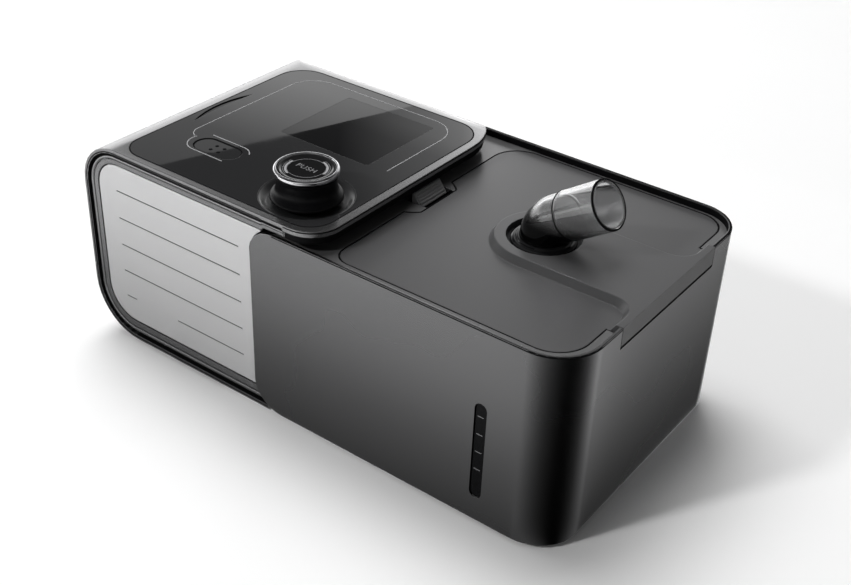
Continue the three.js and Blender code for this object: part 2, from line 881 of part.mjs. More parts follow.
// The pale front panel ends against the humidifier's round shoulder and follows it to a tip.
function frontPanel() {
  const reach = blowerLength + humTopLeftRadius / 2;
  const back = frameBack;
  const plate = alongY(panelOutline(panelInset, panelFootInset, reach - fitGap), panelFace, back);
  const shoulder = humidifierRoom(panelFace - cutOverrun, back + cutOverrun);
  const left = panelInset + panelGrooveSide;
  const right = panelRight - panelGrooveRight;
  const topGroove = bodyHeight - panelInset - panelGrooveTop;
  const grooves = [];
  for (let i = 0; i < panelGrooveCount; i++) {
    const z = topGroove - i * panelGroovePitch;
    const groove = (x0, x1) => block(
      x0, x1, panelFace - cutOverrun, panelFace + panelGrooveDepth,
      z - panelGrooveWidth / 2, z + panelGrooveWidth / 2,
    );
    if (i < panelGrooveCount - 1) {
      grooves.push(groove(left, right));
    } else {
      grooves.push(groove(left, left + bareStart), groove(left + bareStart + bareLength, right));
    }
  }
  return cut(plate, shoulder, ...grooves);
}

// Glossy top plate, with openings for the screen, the knob, the mode button and the status light.
function modeOutline(gap) {
  const halfLength = modeLength / 2 + gap;
  const halfDepth = modeWidth / 2 + gap;
  return roundedBox(modeX - halfLength, modeY - halfDepth, modeX + halfLength, modeY + halfDepth, halfDepth);
}

// The status light is a crescent: two arcs through the same ends, the inner one flatter.
function crescent(gap) {
  const x = fasciaLeft + statusOffset + statusSag + gap;
  const y0 = statusStart - 4 * gap;
  const y1 = statusStart + statusLength + 4 * gap;
  const half = (y1 - y0) / 2;
  const bulge = (sag) => {
    const radius = (half * half + sag * sag) / (2 * sag);
    const spread = Math.asin(half / radius);
    return arc(x + radius - sag, (y0 + y1) / 2, radius, 2 * quarter - spread, 2 * quarter + spread);
  };
  const outer = bulge(statusSag + 2 * gap);
  const inner = bulge(statusSag / 4).reverse().slice(1, -1);
  return [...outer, ...inner];
}

function displayOutline(gap) {
  return roundedBox(
    displayLeft - gap, displayFront - gap, displayLeft + displayWidth + gap, displayBack + gap,
    displayCorner,
  );
}

function topFascia() {
  const plate = alongZ(fasciaOutline(0), fasciaUnderside + fitGap / 3, bodyHeight);
  const under = fasciaUnderside - cutOverrun;
  const over = bodyHeight + cutOverrun;
  return cut(
    plate,
    alongZ(displayOutline(fitGap), bodyHeight - lensThickness - fitGap, over),
    alongZ(displayOutline(-displayLedge), under, over),
    rodZ(knobX, knobY, bezelRadius + fitGap, under, over),
    alongZ(modeOutline(fitGap), under, over),
    alongZ(crescent(fitGap), bodyHeight - statusDepth, over),
  );
}

function displayLens() {
  return alongZ(displayOutline(0), bodyHeight - lensThickness, bodyHeight);
}

function displayModule() {
  const top = fasciaUnderside - fitGap;
  return alongZ(displayOutline(moduleMargin), top - moduleThickness, top);
}

function statusLens() {
  const floor = bodyHeight - statusDepth + fitGap / 3;
  return alongZ(crescent(-fitGap / 2), floor, floor + statusLensThickness);
}

function modeButton() {
  const top = bodyHeight - modeSink;
  const spread = modeDotSpread;
  const dots = [[spread, 0], [-spread, 0], [0, spread], [0, -spread]].map(([dx, dy]) => (
    rodZ(modeX + dx, modeY + dy, modeDotRadius, top - modeDotRise, top + modeDotRise)
  ));
  return join(alongZ(modeOutline(0), top - modeHeight, top), ...dots);
}

function modeSwitch() {
  const bottom = boardTop + fitGap;
  const half = switchSide / 2;
  const plungerTop = bodyHeight - modeSink - modeHeight - modeTravel - pressClearance;
  return join(
    block(modeX - half, modeX + half, modeY - half, modeY + half, bottom, bottom + switchHeight),
    rodZ(modeX, modeY, plungerRadius, bottom + switchHeight / 2, plungerTop),
  );
}

// Knob: a waisted black grip with a bright ring round its cap, on a shaft that turns and presses.
function knobBezel() {
  const profile = [
    ...points([bezelBore, bezelUnderside], [bezelRadius, bezelUnderside], [bezelRadius, bodyHeight]),
    ...arc(bezelRadius - bezelRim - bezelDepth, bodyHeight, bezelDepth, 0, -quarter),
    ...points([bezelBore, bezelFloorTop], [bezelBore, bezelUnderside]),
  ];
  return turned(knobX, knobY, profile);
}

function knobGrip() {
  const ringBottom = knobTop - knobRingHeight;
  const seat = knobTopRadius - knobRingWidth;
  const socket = shaftRadius + fitGap;
  const socketTop = knobBase + knobSocketDepth;
  return turned(knobX, knobY, points(
    [0, socketTop], [socket, socketTop], [socket, knobBase], [knobBaseRadius - bezelRim, knobBase],
    [knobBaseRadius, knobBase + knobFlareHeight / 4],
    [knobBaseRadius - bezelRim / 2, knobBase + knobFlareHeight / 2],
    [knobWaistRadius, knobBase + knobFlareHeight], [knobWaistRadius, ringBottom - knobRingWidth],
    [knobTopRadius - knobRingWidth / 2, ringBottom - fitGap], [seat - fitGap, ringBottom - fitGap],
    [seat - fitGap, knobTop - knobRingWidth], [0, knobTop - knobRingWidth],
  ));
}

function knobRing() {
  const bottom = knobTop - knobRingHeight;
  const inner = knobTopRadius - knobRingWidth;
  const bevel = knobRingWidth / 3;
  return turned(knobX, knobY, points(
    [inner, bottom], [knobTopRadius - bevel, bottom],
    [knobTopRadius, bottom + bevel], [knobTopRadius, knobTop - bevel],
    [knobTopRadius - bevel, knobTop], [inner + bevel, knobTop], [inner, knobTop - bevel], [inner, bottom],
  ));
}

function knobCap() {
  const radius = knobTopRadius - knobRingWidth - fitGap;
  const bottom = knobTop - knobRingWidth + fitGap;
  const top = knobTop - knobCapDish / 2;
  const rim = radius - knobRingWidth;
  return turned(knobX, knobY, points(
    [0, bottom], [radius, bottom], [radius, top], [rim, top], [rim - knobCapDish, top - knobCapDish],
    [0, top - knobCapDish],
  ));
}

function encoderShaft() {
  const bottom = encoderBottom + pressTravel + pressClearance;
  return rodZ(knobX, knobY, shaftRadius, bottom, knobBase + knobSocketDepth - fitGap);
}

function encoderBody() {
  const half = encoderSide / 2;
  const top = encoderBottom + encoderHeight;
  return cut(
    block(knobX - half, knobX + half, knobY - half, knobY + half, encoderBottom - encoderFoot / 4, top),
    rodZ(knobX, knobY, shaftRadius + fitGap, encoderBottom + pressClearance, top + cutOverrun),
  );
}

function controlBoard() {
  const board = block(boardLeft, boardRight, -boardHalf, boardHalf, boardUnderside, boardTop);
  const holes = pillarPlaces((x, y) => (
    rodZ(x, y, pillarRadius + fitGap, boardUnderside - cutOverrun, boardTop + cutOverrun)
  ));
  const chip = (x, y) => block(x, x + chipSide, y, y + chipSide, boardUnderside - chipHeight, boardTop);
  return cut(join(board, chip(fanX + chipSide, chipSide), chip(fanX - chipSide, -2 * chipSide)), holes);
}

// Fan: a scroll casing in two halves, an impeller on the motor's shaft, and rubber mounts on the case's posts.
function scrollOutline(inset) {
  const tongueX = scrollRadius / 2 - inset;
  const start = Math.acos(tongueX / (scrollRadius - inset));
  const sweepAngle = start + 3 * quarter;
  const spiral = [];
  for (let i = 0; i <= scrollSteps; i++) {
    const turn = i / scrollSteps;
    const radius = scrollRadius + scrollGrowth * turn - inset;
    const angle = start - sweepAngle * turn;
    spiral.push(new THREE.Vector2(fanX + radius * Math.cos(angle), radius * Math.sin(angle)));
  }
  const right = fanX + outletLength + (inset > 0 ? cutOverrun : 0);
  const outlet = points(
    [right, scrollRadius + scrollGrowth - inset], [right, scrollRadius + inset],
    [fanX + tongueX, scrollRadius + inset],
  );
  return [...spiral, ...outlet].reverse();
}

function voluteHalf(z0, z1, floorZ, roofZ) {
  const casing = alongZ(scrollOutline(0), z0, z1);
  return cut(casing, alongZ(scrollOutline(fanWall), floorZ, roofZ));
}

function voluteLower() {
  const half = voluteHalf(fanBase, fanMiddle - fitGap / 2, fanBase + fanWall, fanMiddle + cutOverrun);
  return cut(half, rodZ(fanX, 0, shaftHoleRadius, fanBase - cutOverrun, fanBase + fanWall + cutOverrun));
}

function voluteUpper() {
  const half = voluteHalf(fanMiddle + fitGap / 2, fanTop, fanMiddle - cutOverrun, fanTop - fanWall);
  return cut(half, rodZ(fanX, 0, fanInletRadius, fanTop - fanWall - cutOverrun, fanTop + cutOverrun));
}

function impeller() {
  const bottom = fanBase + fanWall + impellerClearance;
  const top = bottom + impellerDisc;
  const disc = rodZ(fanX, 0, impellerRadius, bottom, top);
  const hub = rodZ(fanX, 0, hubRadius, bottom, top + bladeHeight);
  const sweep = bladeSweep * Math.PI / 180;
  const blades = [];
  for (let i = 0; i < bladeCount; i++) {
    const angle = 4 * quarter * i / bladeCount;
    const inner = new THREE.Vector2(bladeInnerRadius, 0).rotateAround(new THREE.Vector2(), angle);
    const tip = impellerRadius - bladeThickness;
    const outer = new THREE.Vector2(tip, 0).rotateAround(new THREE.Vector2(), angle + sweep);
    const across = outer.clone().sub(inner).normalize().rotateAround(new THREE.Vector2(), quarter);
    across.multiplyScalar(bladeThickness / 2);
    const outline = [
      inner.clone().sub(across), outer.clone().sub(across),
      outer.clone().add(across), inner.clone().add(across),
    ].map((point) => new THREE.Vector2(point.x + fanX, point.y));
    blades.push(alongZ(outline, top - impellerDisc / 2, top + bladeHeight));
  }
  return cut(
    join(disc, hub, ...blades),
    rodZ(fanX, 0, rotorShaftRadius + fitGap, bottom - cutOverrun, top + bladeHeight - impellerDisc),
  );
}

function rotorShaft() {
  const top = fanBase + fanWall + impellerClearance + bladeHeight - fitGap;
  return rodZ(fanX, 0, rotorShaftRadius, fanBase - rotorShaftDrop, top);
}

function motorCan() {
  const top = fanBase - fitGap;
  const bottom = top - motorHeight;
  return cut(
    rodZ(fanX, 0, motorRadius, bottom, top),
    rodZ(fanX, 0, rotorShaftRadius + fitGap, bottom + motorWall, top + cutOverrun),
  );
}

function fanMount() {
  return ring(fanX, 0, mountInner, mountOuter, postTop + fitGap / 2, fanBase - fitGap / 2);
}

function outletDuct() {
  const start = fanX + outletLength + fitGap;
  const shoulder = start + ductFlange;
  const flange = block(
    start, shoulder, scrollRadius, scrollRadius + scrollGrowth, fanBase, fanTop,
  );
  const sleeve = rodX(
    outletY, fanMiddle, nozzleRadius + ductShoulder, shoulder - ductFlange / 2, dockInner - fitGap,
  );
  const nozzle = rodX(outletY, fanMiddle, nozzleRadius, shoulder, blowerLength + nozzleReach);
  const bore = rodX(
    outletY, fanMiddle, nozzleBore, start - cutOverrun, blowerLength + nozzleReach + cutOverrun,
  );
  return cut(join(flange, sleeve, nozzle), bore);
}

function nozzleGasket() {
  const face = blowerLength - fitGap / 3;
  return cut(
    rodX(outletY, fanMiddle, gasketRadius, face - gasketThickness, face),
    rodX(outletY, fanMiddle, nozzleRadius + fitGap, face - gasketThickness - cutOverrun, face + cutOverrun),
  );
}

function silencerFoam() {
  const outline = roundedBox(
    wall + foamMargin, wall + fitGap, dockInner - foamRightGap, fanBase - foamTopGap,
    foamRadius, foamRound, foamRound, foamRound,
  );
  return cut(alongY(outline, -foamHalf, foamHalf), rodZ(fanX, 0, motorRadius + foamMotorGap, 0, fanBase));
}

// Rear panel with the filter's box, its door and pin, the power inlet and the card slot.
function filterBox() {
  const back = rearFace - wall - rearFlangeThickness;
  const x0 = doorLeft - filterBoxWall;
  const x1 = doorRight + filterBoxWall;
  const z0 = doorBottom - filterBoxWall;
  const z1 = doorTop + filterBoxWall;
  const box = block(x0, x1, back - filterBoxDepth, back, z0, z1);
  const room = block(
    doorLeft, doorRight, back - filterBoxDepth + filterBoxWall, back + cutOverrun, doorBottom, doorTop,
  );
  const cell = (doorHeight - grilleBar * (grilleCount + 1)) / grilleCount;
  const slots = [];
  for (let i = 0; i < grilleCount; i++) {
    const z = doorBottom + grilleBar + i * (cell + grilleBar);
    slots.push(block(
      doorLeft + grilleBar, doorRight - grilleBar, back - filterBoxDepth - cutOverrun, back, z, z + cell,
    ));
  }
  return cut(box, room, ...slots);
}

function cardOpening(gap) {
  const half = cardWidth / 2 + gap;
  return roundedBox(cardX - half, cardZ - gap, cardX + half, cardZ + cardThickness + gap, 0);
}

function rearPanel() {
  const face = rearFace - fitGap / 2;
  const plate = alongY(
    roundedBox(
      rearLeft + fitGap, rearBottom + fitGap, rearRight - fitGap, rearTop - fitGap, rearRadius - fitGap,
    ),
    face - rearThickness, face,
  );
  const flangeFace = rearFace - wall - fitGap;
  const flange = alongY(
    roundedBox(
      rearLeft - rearFlange, rearBottom - rearFlange, rearRight + rearFlange,
      rearTop + rearFlange / 2, rearRadius,
    ),
    flangeFace - rearFlangeThickness, flangeFace,
  ).intersect(alongY(hollowSide(wall + fitGap, dockInner, innerTop), 0, flangeFace));
  const neck = alongY(
    roundedBox(
      rearLeft + rearFlange, rearBottom + rearFlange, rearRight - rearFlange, rearTop - rearFlange, rearRadius,
    ),
    flangeFace - rearFlangeThickness / 2, face - rearThickness / 2,
  );
  const deep = rearFace - wall - rearFlangeThickness - cutOverrun;
  const doorway = block(
    doorLeft - doorGap, doorRight + doorGap, deep, rearFace + cutOverrun,
    doorBottom - doorGap, doorTop + doorGap,
  );
  const pinHole = rodX(
    doorPinY, doorBottom + doorPinRise, doorPinRadius + fitGap,
    doorLeft - doorPinReach - fitGap, doorRight + doorPinReach + fitGap,
  );
  const inletHole = rodY(inletX, inletZ, inletRadius + fitGap, deep, rearFace + cutOverrun);
  const cardSlot = alongY(cardOpening(fitGap), deep, rearFace + cutOverrun);
  return cut(join(cut(join(plate, flange, neck), doorway), filterBox()), pinHole, inletHole, cardSlot);
}

function filterDoor() {
  const door = alongY(
    roundedBox(doorLeft, doorBottom, doorRight, doorTop, doorGap), doorOuter - doorThickness, doorOuter,
  );
  const bore = rodX(
    doorPinY, doorBottom + doorPinRise, doorPinRadius + fitGap / 2,
    doorLeft - cutOverrun, doorRight + cutOverrun,
  );
  const span = doorHeight - 2 * doorVentMargin;
  const pitch = (span - doorVentHeight) / (doorVentCount - 1);
  const vents = [];
  for (let i = 0; i < doorVentCount; i++) {
    const z = doorBottom + doorVentMargin + i * pitch;
    const outline = roundedBox(
      doorLeft + doorVentMargin, z, doorRight - doorVentMargin, z + doorVentHeight, doorVentHeight / 2,
    );
    vents.push(alongY(outline, doorOuter - doorThickness - cutOverrun, doorOuter + cutOverrun));
  }
  return cut(door, bore, ...vents);
}

function filterDoorPin() {
  return rodX(
    doorPinY, doorBottom + doorPinRise, doorPinRadius, doorLeft - doorPinReach, doorRight + doorPinReach,
  );
}

function airFilter() {
  const back = rearFace - wall - rearFlangeThickness;
  const start = back - filterBoxDepth + filterBoxWall + fitGap;
  return block(
    doorLeft + fitGap, doorRight - fitGap, start, start + filterThickness,
    doorBottom + fitGap, doorTop - fitGap,
  );
}

function powerInlet() {
  const back = inletFace - inletDepth;
  return cut(
    rodY(inletX, inletZ, inletRadius, back, inletFace),
    rodY(inletX, inletZ, inletBore, inletFace - inletSocketDepth, inletFace + cutOverrun),
    rodY(inletX, inletZ, inletPinRadius + inletPinGap, back - cutOverrun, inletFace),
  );
}

function powerPin() {
  return rodY(inletX, inletZ, inletPinRadius, inletFace - inletDepth, inletFace - inletPinSink);
}

function cardReader() {
  const half = cardWidth / 2 + fitGap + readerWall;
  const back = rearFace - wall - rearFlangeThickness - fitGap * 2;
  const housing = block(
    cardX - half, cardX + half, back - readerLength, back,
    cardZ - fitGap - readerWall, cardZ + cardThickness + fitGap + readerWall,
  );
  const slot = alongY(cardOpening(fitGap), back - readerLength - cutOverrun, back + cutOverrun);
  return cut(housing, slot);
}

function memoryCard() {
  const face = rearFace;
  const card = alongY(cardOpening(0), face - cardLength, face - cardLipHeight);
  const lip = block(
    cardX - cardLipWidth, cardX + cardLipWidth, face - cardProud,
    face, cardZ, cardZ + cardThickness - cardLipHeight,
  );
  return join(card, lip);
}

// Dock: the wall between the units, with the air nozzle's hole and the heater's socket.
function socketBlock(gap) {
  const halfWide = socketWidth / 2 + gap;
  const halfHigh = socketHeight / 2 + gap;
  return roundedBox(plugY - halfWide, plugZ - halfHigh, plugY + halfWide, plugZ + halfHigh, 0);
}

function contactSlots(gap, x0, x1) {
  const slots = [];
  for (let i = 0; i < contactCount; i++) {
    const y = plugY + (i - (contactCount - 1) / 2) * bladePitch;
    slots.push(block(
      x0, x1, y - bladeWidth / 2 - gap, y + bladeWidth / 2 + gap,
      plugZ - bladeSide / 2 - gap, plugZ + bladeSide / 2 + gap,
    ));
  }
  return join(...slots);
}

function dockPlate() {
  const plate = block(
    dockInner + fitGap / 3, blowerLength - fitGap / 3, ledgeBack + fitGap,
    halfWidth - wall - fitGap, dockBase, dockTop,
  );
  return cut(
    plate,
    rodX(outletY, fanMiddle, nozzleRadius + fitGap, dockInner - cutOverrun, blowerLength + cutOverrun),
    rodX(
      outletY, fanMiddle, gasketRadius + fitGap,
      blowerLength - fitGap / 3 - gasketThickness - fitGap / 2, blowerLength + cutOverrun,
    ),
    alongX(socketBlock(fitGap), dockInner - cutOverrun, blowerLength + cutOverrun),
  );
}

function dockSocket() {
  const face = blowerLength - fitGap / 3;
  return cut(
    alongX(socketBlock(0), face - plugDepth - wall, face),
    contactSlots(fitGap, face - plugDepth, face + cutOverrun),
  );
}

function dockPlug() {
  const halfWide = plugWidth / 2 - fitGap;
  const halfHigh = plugHeight / 2 - fitGap;
  const body = alongX(
    roundedBox(plugY - halfWide, plugZ - halfHigh, plugY + halfWide, plugZ + halfHigh, 0),
    humLeft + fitGap / 3, humLeft + wall + plugDepth,
  );
  const blades = contactSlots(0, blowerLength - bladeReach, humLeft + wall);
  const flange = alongX(socketBlock(0), humLeft + wall + fitGap, humLeft + wall + plugDepth / 2);
  return join(body, blades, flange);
}

// Humidifier case: one deep shell with a low rim round the lid, closed below by a base plate.
function humidifierPlan(inset) {
  return roundedBox(
    humLeft + inset, frontFace + inset, bodyLength - inset, humBackY - inset,
    Math.max(humLeftRadius - inset, 0), humFrontRadius - inset,
    humBackRadius - inset, Math.max(humLeftRadius - inset, 0),
  );
}

function lidOutline(gap) {
  const near = lidCentreY - lidHalf - gap;
  const far = lidCentreY + lidHalf + gap;
  const left = lidLeft - gap;
  const bay = left + bayDepth;
  const bayNear = lidCentreY - bayHalf + gap;
  const bayFar = lidCentreY + bayHalf - gap;
  const floorNear = lidCentreY - bayFloorHalf + gap;
  const floorFar = lidCentreY + bayFloorHalf - gap;
  return [
    ...roundedBox(
      left, near, lidRight + gap, far,
      lidNearLeftRadius + gap, lidNearRightRadius + gap, lidFarRightRadius + gap, lidFarLeftRadius + gap,
    ),
    ...points([left, bayFar], [left + bayRadius, bayFar - bayRadius / 2]),
    ...points([bay - bayRadius, floorFar], [bay, floorFar - bayRadius]),
    ...points([bay, floorNear + bayRadius], [bay - bayRadius, floorNear]),
    ...points([left + bayRadius, bayNear + bayRadius / 2], [left, bayNear]),
  ];
}

function flapSweep(gap) {
  return block(
    hingeX - hingeInset - flapDrop, bodyLength + cutOverrun,
    lidCentreY - hingeHalf - gap, lidCentreY + hingeHalf + gap,
    flapBottom - flapSlot, rimHeight + cutOverrun,
  );
}

function windowOutline(gap) {
  const half = windowWidth / 2 + gap;
  return roundedBox(
    windowX - half, windowBottom - gap, windowX + half, windowBottom + windowHeight + gap, half,
  );
}

function humidifierShell() {
  const side = roundedBox(
    humLeft, 0, bodyLength, rimHeight, humBottomLeftRadius, humBottomRadius, 0, humTopLeftRadius,
  );
  const outer = alongZ(humidifierPlan(0), 0, rimHeight).intersect(alongY(side, frontFace, humBackY));
  const flangeBottom = lidTop - flangeThickness;
  const innerSide = roundedBox(
    humLeft + wall, wall, bodyLength - wall, flangeBottom,
    humBottomLeftRadius - wall, 0, 0, humTopLeftRadius - wall,
  );
  const inner = join(
    alongZ(humidifierPlan(wall), 0, flangeBottom).intersect(alongY(innerSide, frontFace, humBackY)),
    alongZ(basePlan(0), -cutOverrun, wall + fitGap),
  );
  const recess = alongZ(
    roundedBox(
      humLeft - cutOverrun, frontFace + rimWidth, bodyLength - rimWidth, humBackY - rimWidth,
      0, humFrontRadius - rimWidth, humBackRadius - rimWidth, 0,
    ),
    lidTop, rimHeight + cutOverrun,
  );
  const pinBoss = (y) => block(
    bodyLength - wall / 2 - hingeBossDepth, bodyLength - wall / 2, y, y + hingeBossLength,
    hingeZ - hingeDrop, lidTop,
  );
  const bosses = join(
    pinBoss(lidCentreY - hingeHalf - fitGap - hingeBossLength), pinBoss(lidCentreY + hingeHalf + fitGap),
  );
  const earNear = catchCentreY - catchWidth / 2 - fitGap - catchEarWidth;
  const earFar = catchCentreY + catchWidth / 2 + fitGap;
  const ear = (y) => block(
    catchPinX - catchEarReach, catchPinX + catchEarReach, y, y + catchEarWidth,
    catchPinZ - catchEarReach, lidTop - flangeThickness / 2,
  );
  const catchHole = block(
    catchX - catchFaceRun / 2, lidLeft + bayDepth - fitGap * 2, earNear + catchEarWidth, earFar,
    catchBottom, rimHeight,
  );
  const shell = join(cut(outer, inner, recess), bosses, ear(earNear), ear(earFar));
  return cut(
    shell,
    alongZ(lidOutline(fitGap), flangeBottom - cutOverrun, rimHeight + cutOverrun),
    flapSweep(fitGap),
    catchHole,
    rodY(
      hingeX, hingeZ, hingePinRadius + fitGap,
      lidCentreY - hingeHalf - hingePinReach - fitGap, lidCentreY + hingeHalf + hingePinReach + fitGap,
    ),
    rodY(
      catchPinX, catchPinZ, catchPinRadius + fitGap, earNear - cutOverrun, earFar + catchEarWidth + cutOverrun,
    ),
    rodX(outletY, fanMiddle, tubeOuter + fitGap, humLeft - cutOverrun, humLeft + wall + cutOverrun),
    block(
      humLeft - cutOverrun, humLeft + wall + cutOverrun, plugY - plugWidth / 2, plugY + plugWidth / 2,
      plugZ - plugHeight / 2, plugZ + plugHeight / 2,
    ),
    alongY(windowOutline(0), frontFace - cutOverrun, frontFace + wall + cutOverrun),
  );
}

// The base plate closes the flat part of the bottom, right of the rounded lower edge.
function basePlan(gap) {
  const left = humLeft + basePlateInset;
  const inset = wall + gap;
  return roundedBox(
    left + gap, frontFace + inset, bodyLength - inset, halfWidth - inset,
    wall, humFrontRadius - inset, humBackRadius - inset, wall,
  );
}

function humidifierBase() {
  const plate = alongZ(basePlan(fitGap), 0, wall);
  return cut(plate, ...[-railY, railY].map((y) => railCut(humRailLeft, humRailRight, y)));
}

function levelWindow() {
  const face = frontFace + windowSink;
  const pane = alongY(windowOutline(-fitGap), face, face + windowThickness);
  const ticks = [];
  for (let i = 0; i < tickCount; i++) {
    const z = windowBottom + tickBottom + i * tickPitch;
    ticks.push(block(windowX, windowX + tickWidth, face - cutOverrun, face + tickDepth, z, z + tickHeight));
  }
  return cut(pane, ...ticks);
}

// Water tank, its heater and the tube that brings air in from the blower.
function tankOutline(gap) {
  return roundedBox(tankX0 - gap, tankY0 - gap, tankX1 + gap, tankY1 + gap, tankRadius + gap);
}

function waterTank() {
  const tub = cut(
    alongZ(tankOutline(0), tankBottom, tankTop),
    alongZ(tankOutline(-tankWall), tankBottom + tankWall, tankTop + cutOverrun),
  );
  const rim = cut(
    alongZ(tankOutline(tankRimWidth), tankTop - tankRimHeight, tankTop),
    alongZ(tankOutline(-tankWall / 2), tankTop - tankRimHeight - cutOverrun, tankTop + cutOverrun),
  );
  return cut(
    join(tub, rim), rodX(outletY, fanMiddle, portRadius, tankX0 - cutOverrun, tankX0 + tankWall + cutOverrun),
  );
}

function lidSeal() {
  return cut(
    alongZ(tankOutline(tankRimWidth - lidSealInset), tankTop + fitGap, lidBottom - fitGap),
    alongZ(tankOutline(tankRimWidth - lidSealInset - lidSealWidth), tankTop, lidBottom),
  );
}

function heaterOutline(gap) {
  const inset = heaterInset - gap;
  return roundedBox(tankX0 + inset, tankY0 + inset, tankX1 - inset, tankY1 - inset, heaterRadius + gap);
}

function heaterPlate() {
  const top = tankBottom - fitGap;
  return alongZ(heaterOutline(0), top - heaterThickness, top);
}

function heaterPad() {
  const top = tankBottom - fitGap - heaterThickness - fitGap;
  return alongZ(heaterOutline(-heaterRadius / 2), wall + fitGap, top);
}

function inletTube() {
  const start = humLeft + fitGap;
  const end = tankX0 - fitGap;
  const flangeStart = humLeft + humTopLeftRadius;
  return cut(
    join(
      rodX(outletY, fanMiddle, tubeOuter, start, end),
      rodX(outletY, fanMiddle, tubeFlangeRadius, flangeStart, flangeStart + tubeFlangeThickness),
    ),
    rodX(outletY, fanMiddle, tubeInner, start - cutOverrun, end + cutOverrun),
  );
}

// Lid: a flat panel with a raised tongue that runs from the outlet seat to a flap over the hinge.
function tongueOutline(grow) {
  const half = tongueHalf + grow;
  const flareX = bodyLength - tongueRidge - tongueFlare;
  const flareRadius = tongueFlare - grow;
  const flareSteps = 8;
  const headSteps = 20;
  const bend = (cx, cy, radius, from, to, steps) => {
    const list = [];
    for (let i = 0; i <= steps; i++) {
      const angle = from + (to - from) * i / steps;
      list.push(new THREE.Vector2(cx + radius * Math.cos(angle), cy + radius * Math.sin(angle)));
    }
    return list;
  };
  const nearFlareY = lidCentreY - half - flareRadius;
  const farFlareY = lidCentreY + half + flareRadius;
  return [
    ...bend(seatX, lidCentreY, half, quarter, 3 * quarter, headSteps),
    ...bend(flareX, nearFlareY, flareRadius, quarter, 0, flareSteps),
    ...points([flareX + flareRadius, lidCentreY - hingeHalf], [bodyLength, lidCentreY - hingeHalf]),
    ...points([bodyLength, lidCentreY + hingeHalf], [flareX + flareRadius, lidCentreY + hingeHalf]),
    ...bend(flareX, farFlareY, flareRadius, 0, -quarter, flareSteps),
  ];
}

function lidPanel() {
  const near = lidCentreY - hingeHalf;
  const far = lidCentreY + hingeHalf;
  const panel = alongZ(lidOutline(0), lidBottom, lidTop);
  const ears = block(lidRight - lidNearRightRadius, bodyLength, near, far, lidBottom, lidTop);
  const tongue = loft(tongueOutline(tongueSlope), lidTop - fitGap / 3, tongueOutline(0), rimHeight);
  const flap = block(bodyLength - flapThickness, bodyLength, near, far, flapBottom, rimHeight - rimDrop / 2);
  const core = alongZ(
    roundedBox(
      seatX + seatRadius + tongueCore, lidCentreY - tongueHalf + tongueCore,
      bodyLength - tongueRidge - tongueFlare, lidCentreY + tongueHalf - tongueCore, tongueCore,
    ),
    lidBottom - cutOverrun, rimHeight - lidThickness,
  );
  return cut(
    join(panel, ears, tongue, flap),
    core,
    rodZ(seatX, lidCentreY, seatRadius, seatFloor, rimHeight + cutOverrun),
    rodZ(seatX, lidCentreY, elbowRadius + collarWidth + fitGap, lidBottom - cutOverrun, rimHeight),
    rodY(hingeX, hingeZ, hingePinRadius + fitGap / 2, near - cutOverrun, far + cutOverrun),
  );
}

function hingePin() {
  return rodY(
    hingeX, hingeZ, hingePinRadius, lidCentreY - hingeHalf - hingePinReach,
    lidCentreY + hingeHalf + hingePinReach,
  );
}

function outletCollar() {
  const outer = elbowRadius + collarWidth;
  const inner = elbowRadius + fitGap;
  const top = seatFloor + cuffSink;
  const lip = seatRadius - fitGap;
  const lipBottom = seatFloor + fitGap / 3;
  const bottom = top - collarHeight;
  return turned(seatX, lidCentreY, points(
    [inner, bottom], [outer, bottom], [outer, lipBottom], [lip, lipBottom], [lip, top], [inner, top],
    [inner, bottom],
  ));
}

// Elbow: a tube swept up from the seat and over into the outlet, which takes a hose cuff.
const elbowRise = elbowRiseAngle * Math.PI / 180;
const elbowTangent = elbowBendRadius * Math.tan((quarter - elbowRise) / 2);
const elbowCorner = new THREE.Vector3(seatX, lidCentreY, elbowCornerZ);
const outletDirection = new THREE.Vector3(Math.cos(elbowRise), 0, Math.sin(elbowRise));

function alongOutlet(distance) {
  return elbowCorner.clone().addScaledVector(outletDirection, distance);
}

function bentTube(radius, bottom, reach) {
  const start = new THREE.Vector3(seatX, lidCentreY, bottom);
  const bendStart = new THREE.Vector3(seatX, lidCentreY, elbowCornerZ - elbowTangent);
  const centre = bendStart.clone().add(new THREE.Vector3(elbowBendRadius, 0, 0));
  const path = [start, bendStart];
  for (let i = 1; i <= bendSteps; i++) {
    const angle = (quarter - elbowRise) * i / bendSteps;
    path.push(new THREE.Vector3(
      centre.x - elbowBendRadius * Math.cos(angle), lidCentreY, centre.z + elbowBendRadius * Math.sin(angle),
    ));
  }
  path.push(alongOutlet(reach));
  return solid(sweep(circle(0, 0, radius), path));
}

// Sweeps a round section along points that lie in one upright plane.
function sweep(section, path) {
  const count = section.length;
  const positions = [];
  path.forEach((point, i) => {
    const before = path[Math.max(i - 1, 0)];
    const after = path[Math.min(i + 1, path.length - 1)];
    const tangent = after.clone().sub(before).normalize();
    const side = new THREE.Vector3().crossVectors(Y, tangent).normalize();
    section.forEach((corner) => {
      const place = point.clone().addScaledVector(side, corner.x).addScaledVector(Y, corner.y);
      positions.push(place.x, place.y, place.z);
    });
  });
  const index = [];
  for (let i = 0; i < path.length - 1; i++) {
    for (let j = 0; j < count; j++) {
      const next = (j + 1) % count;
      const a = i * count + j;
      const b = i * count + next;
      index.push(a, b, b + count, a, b + count, a + count);
    }
  }
  const caps = THREE.ShapeUtils.triangulateShape(section, []);
  const last = (path.length - 1) * count;
  caps.forEach(([a, b, c]) => index.push(c, b, a, last + a, last + b, last + c));
  const geometry = new THREE.BufferGeometry();
  geometry.setAttribute('position', new THREE.Float32BufferAttribute(positions, 3));
  geometry.setIndex(index);
  return geometry;
}

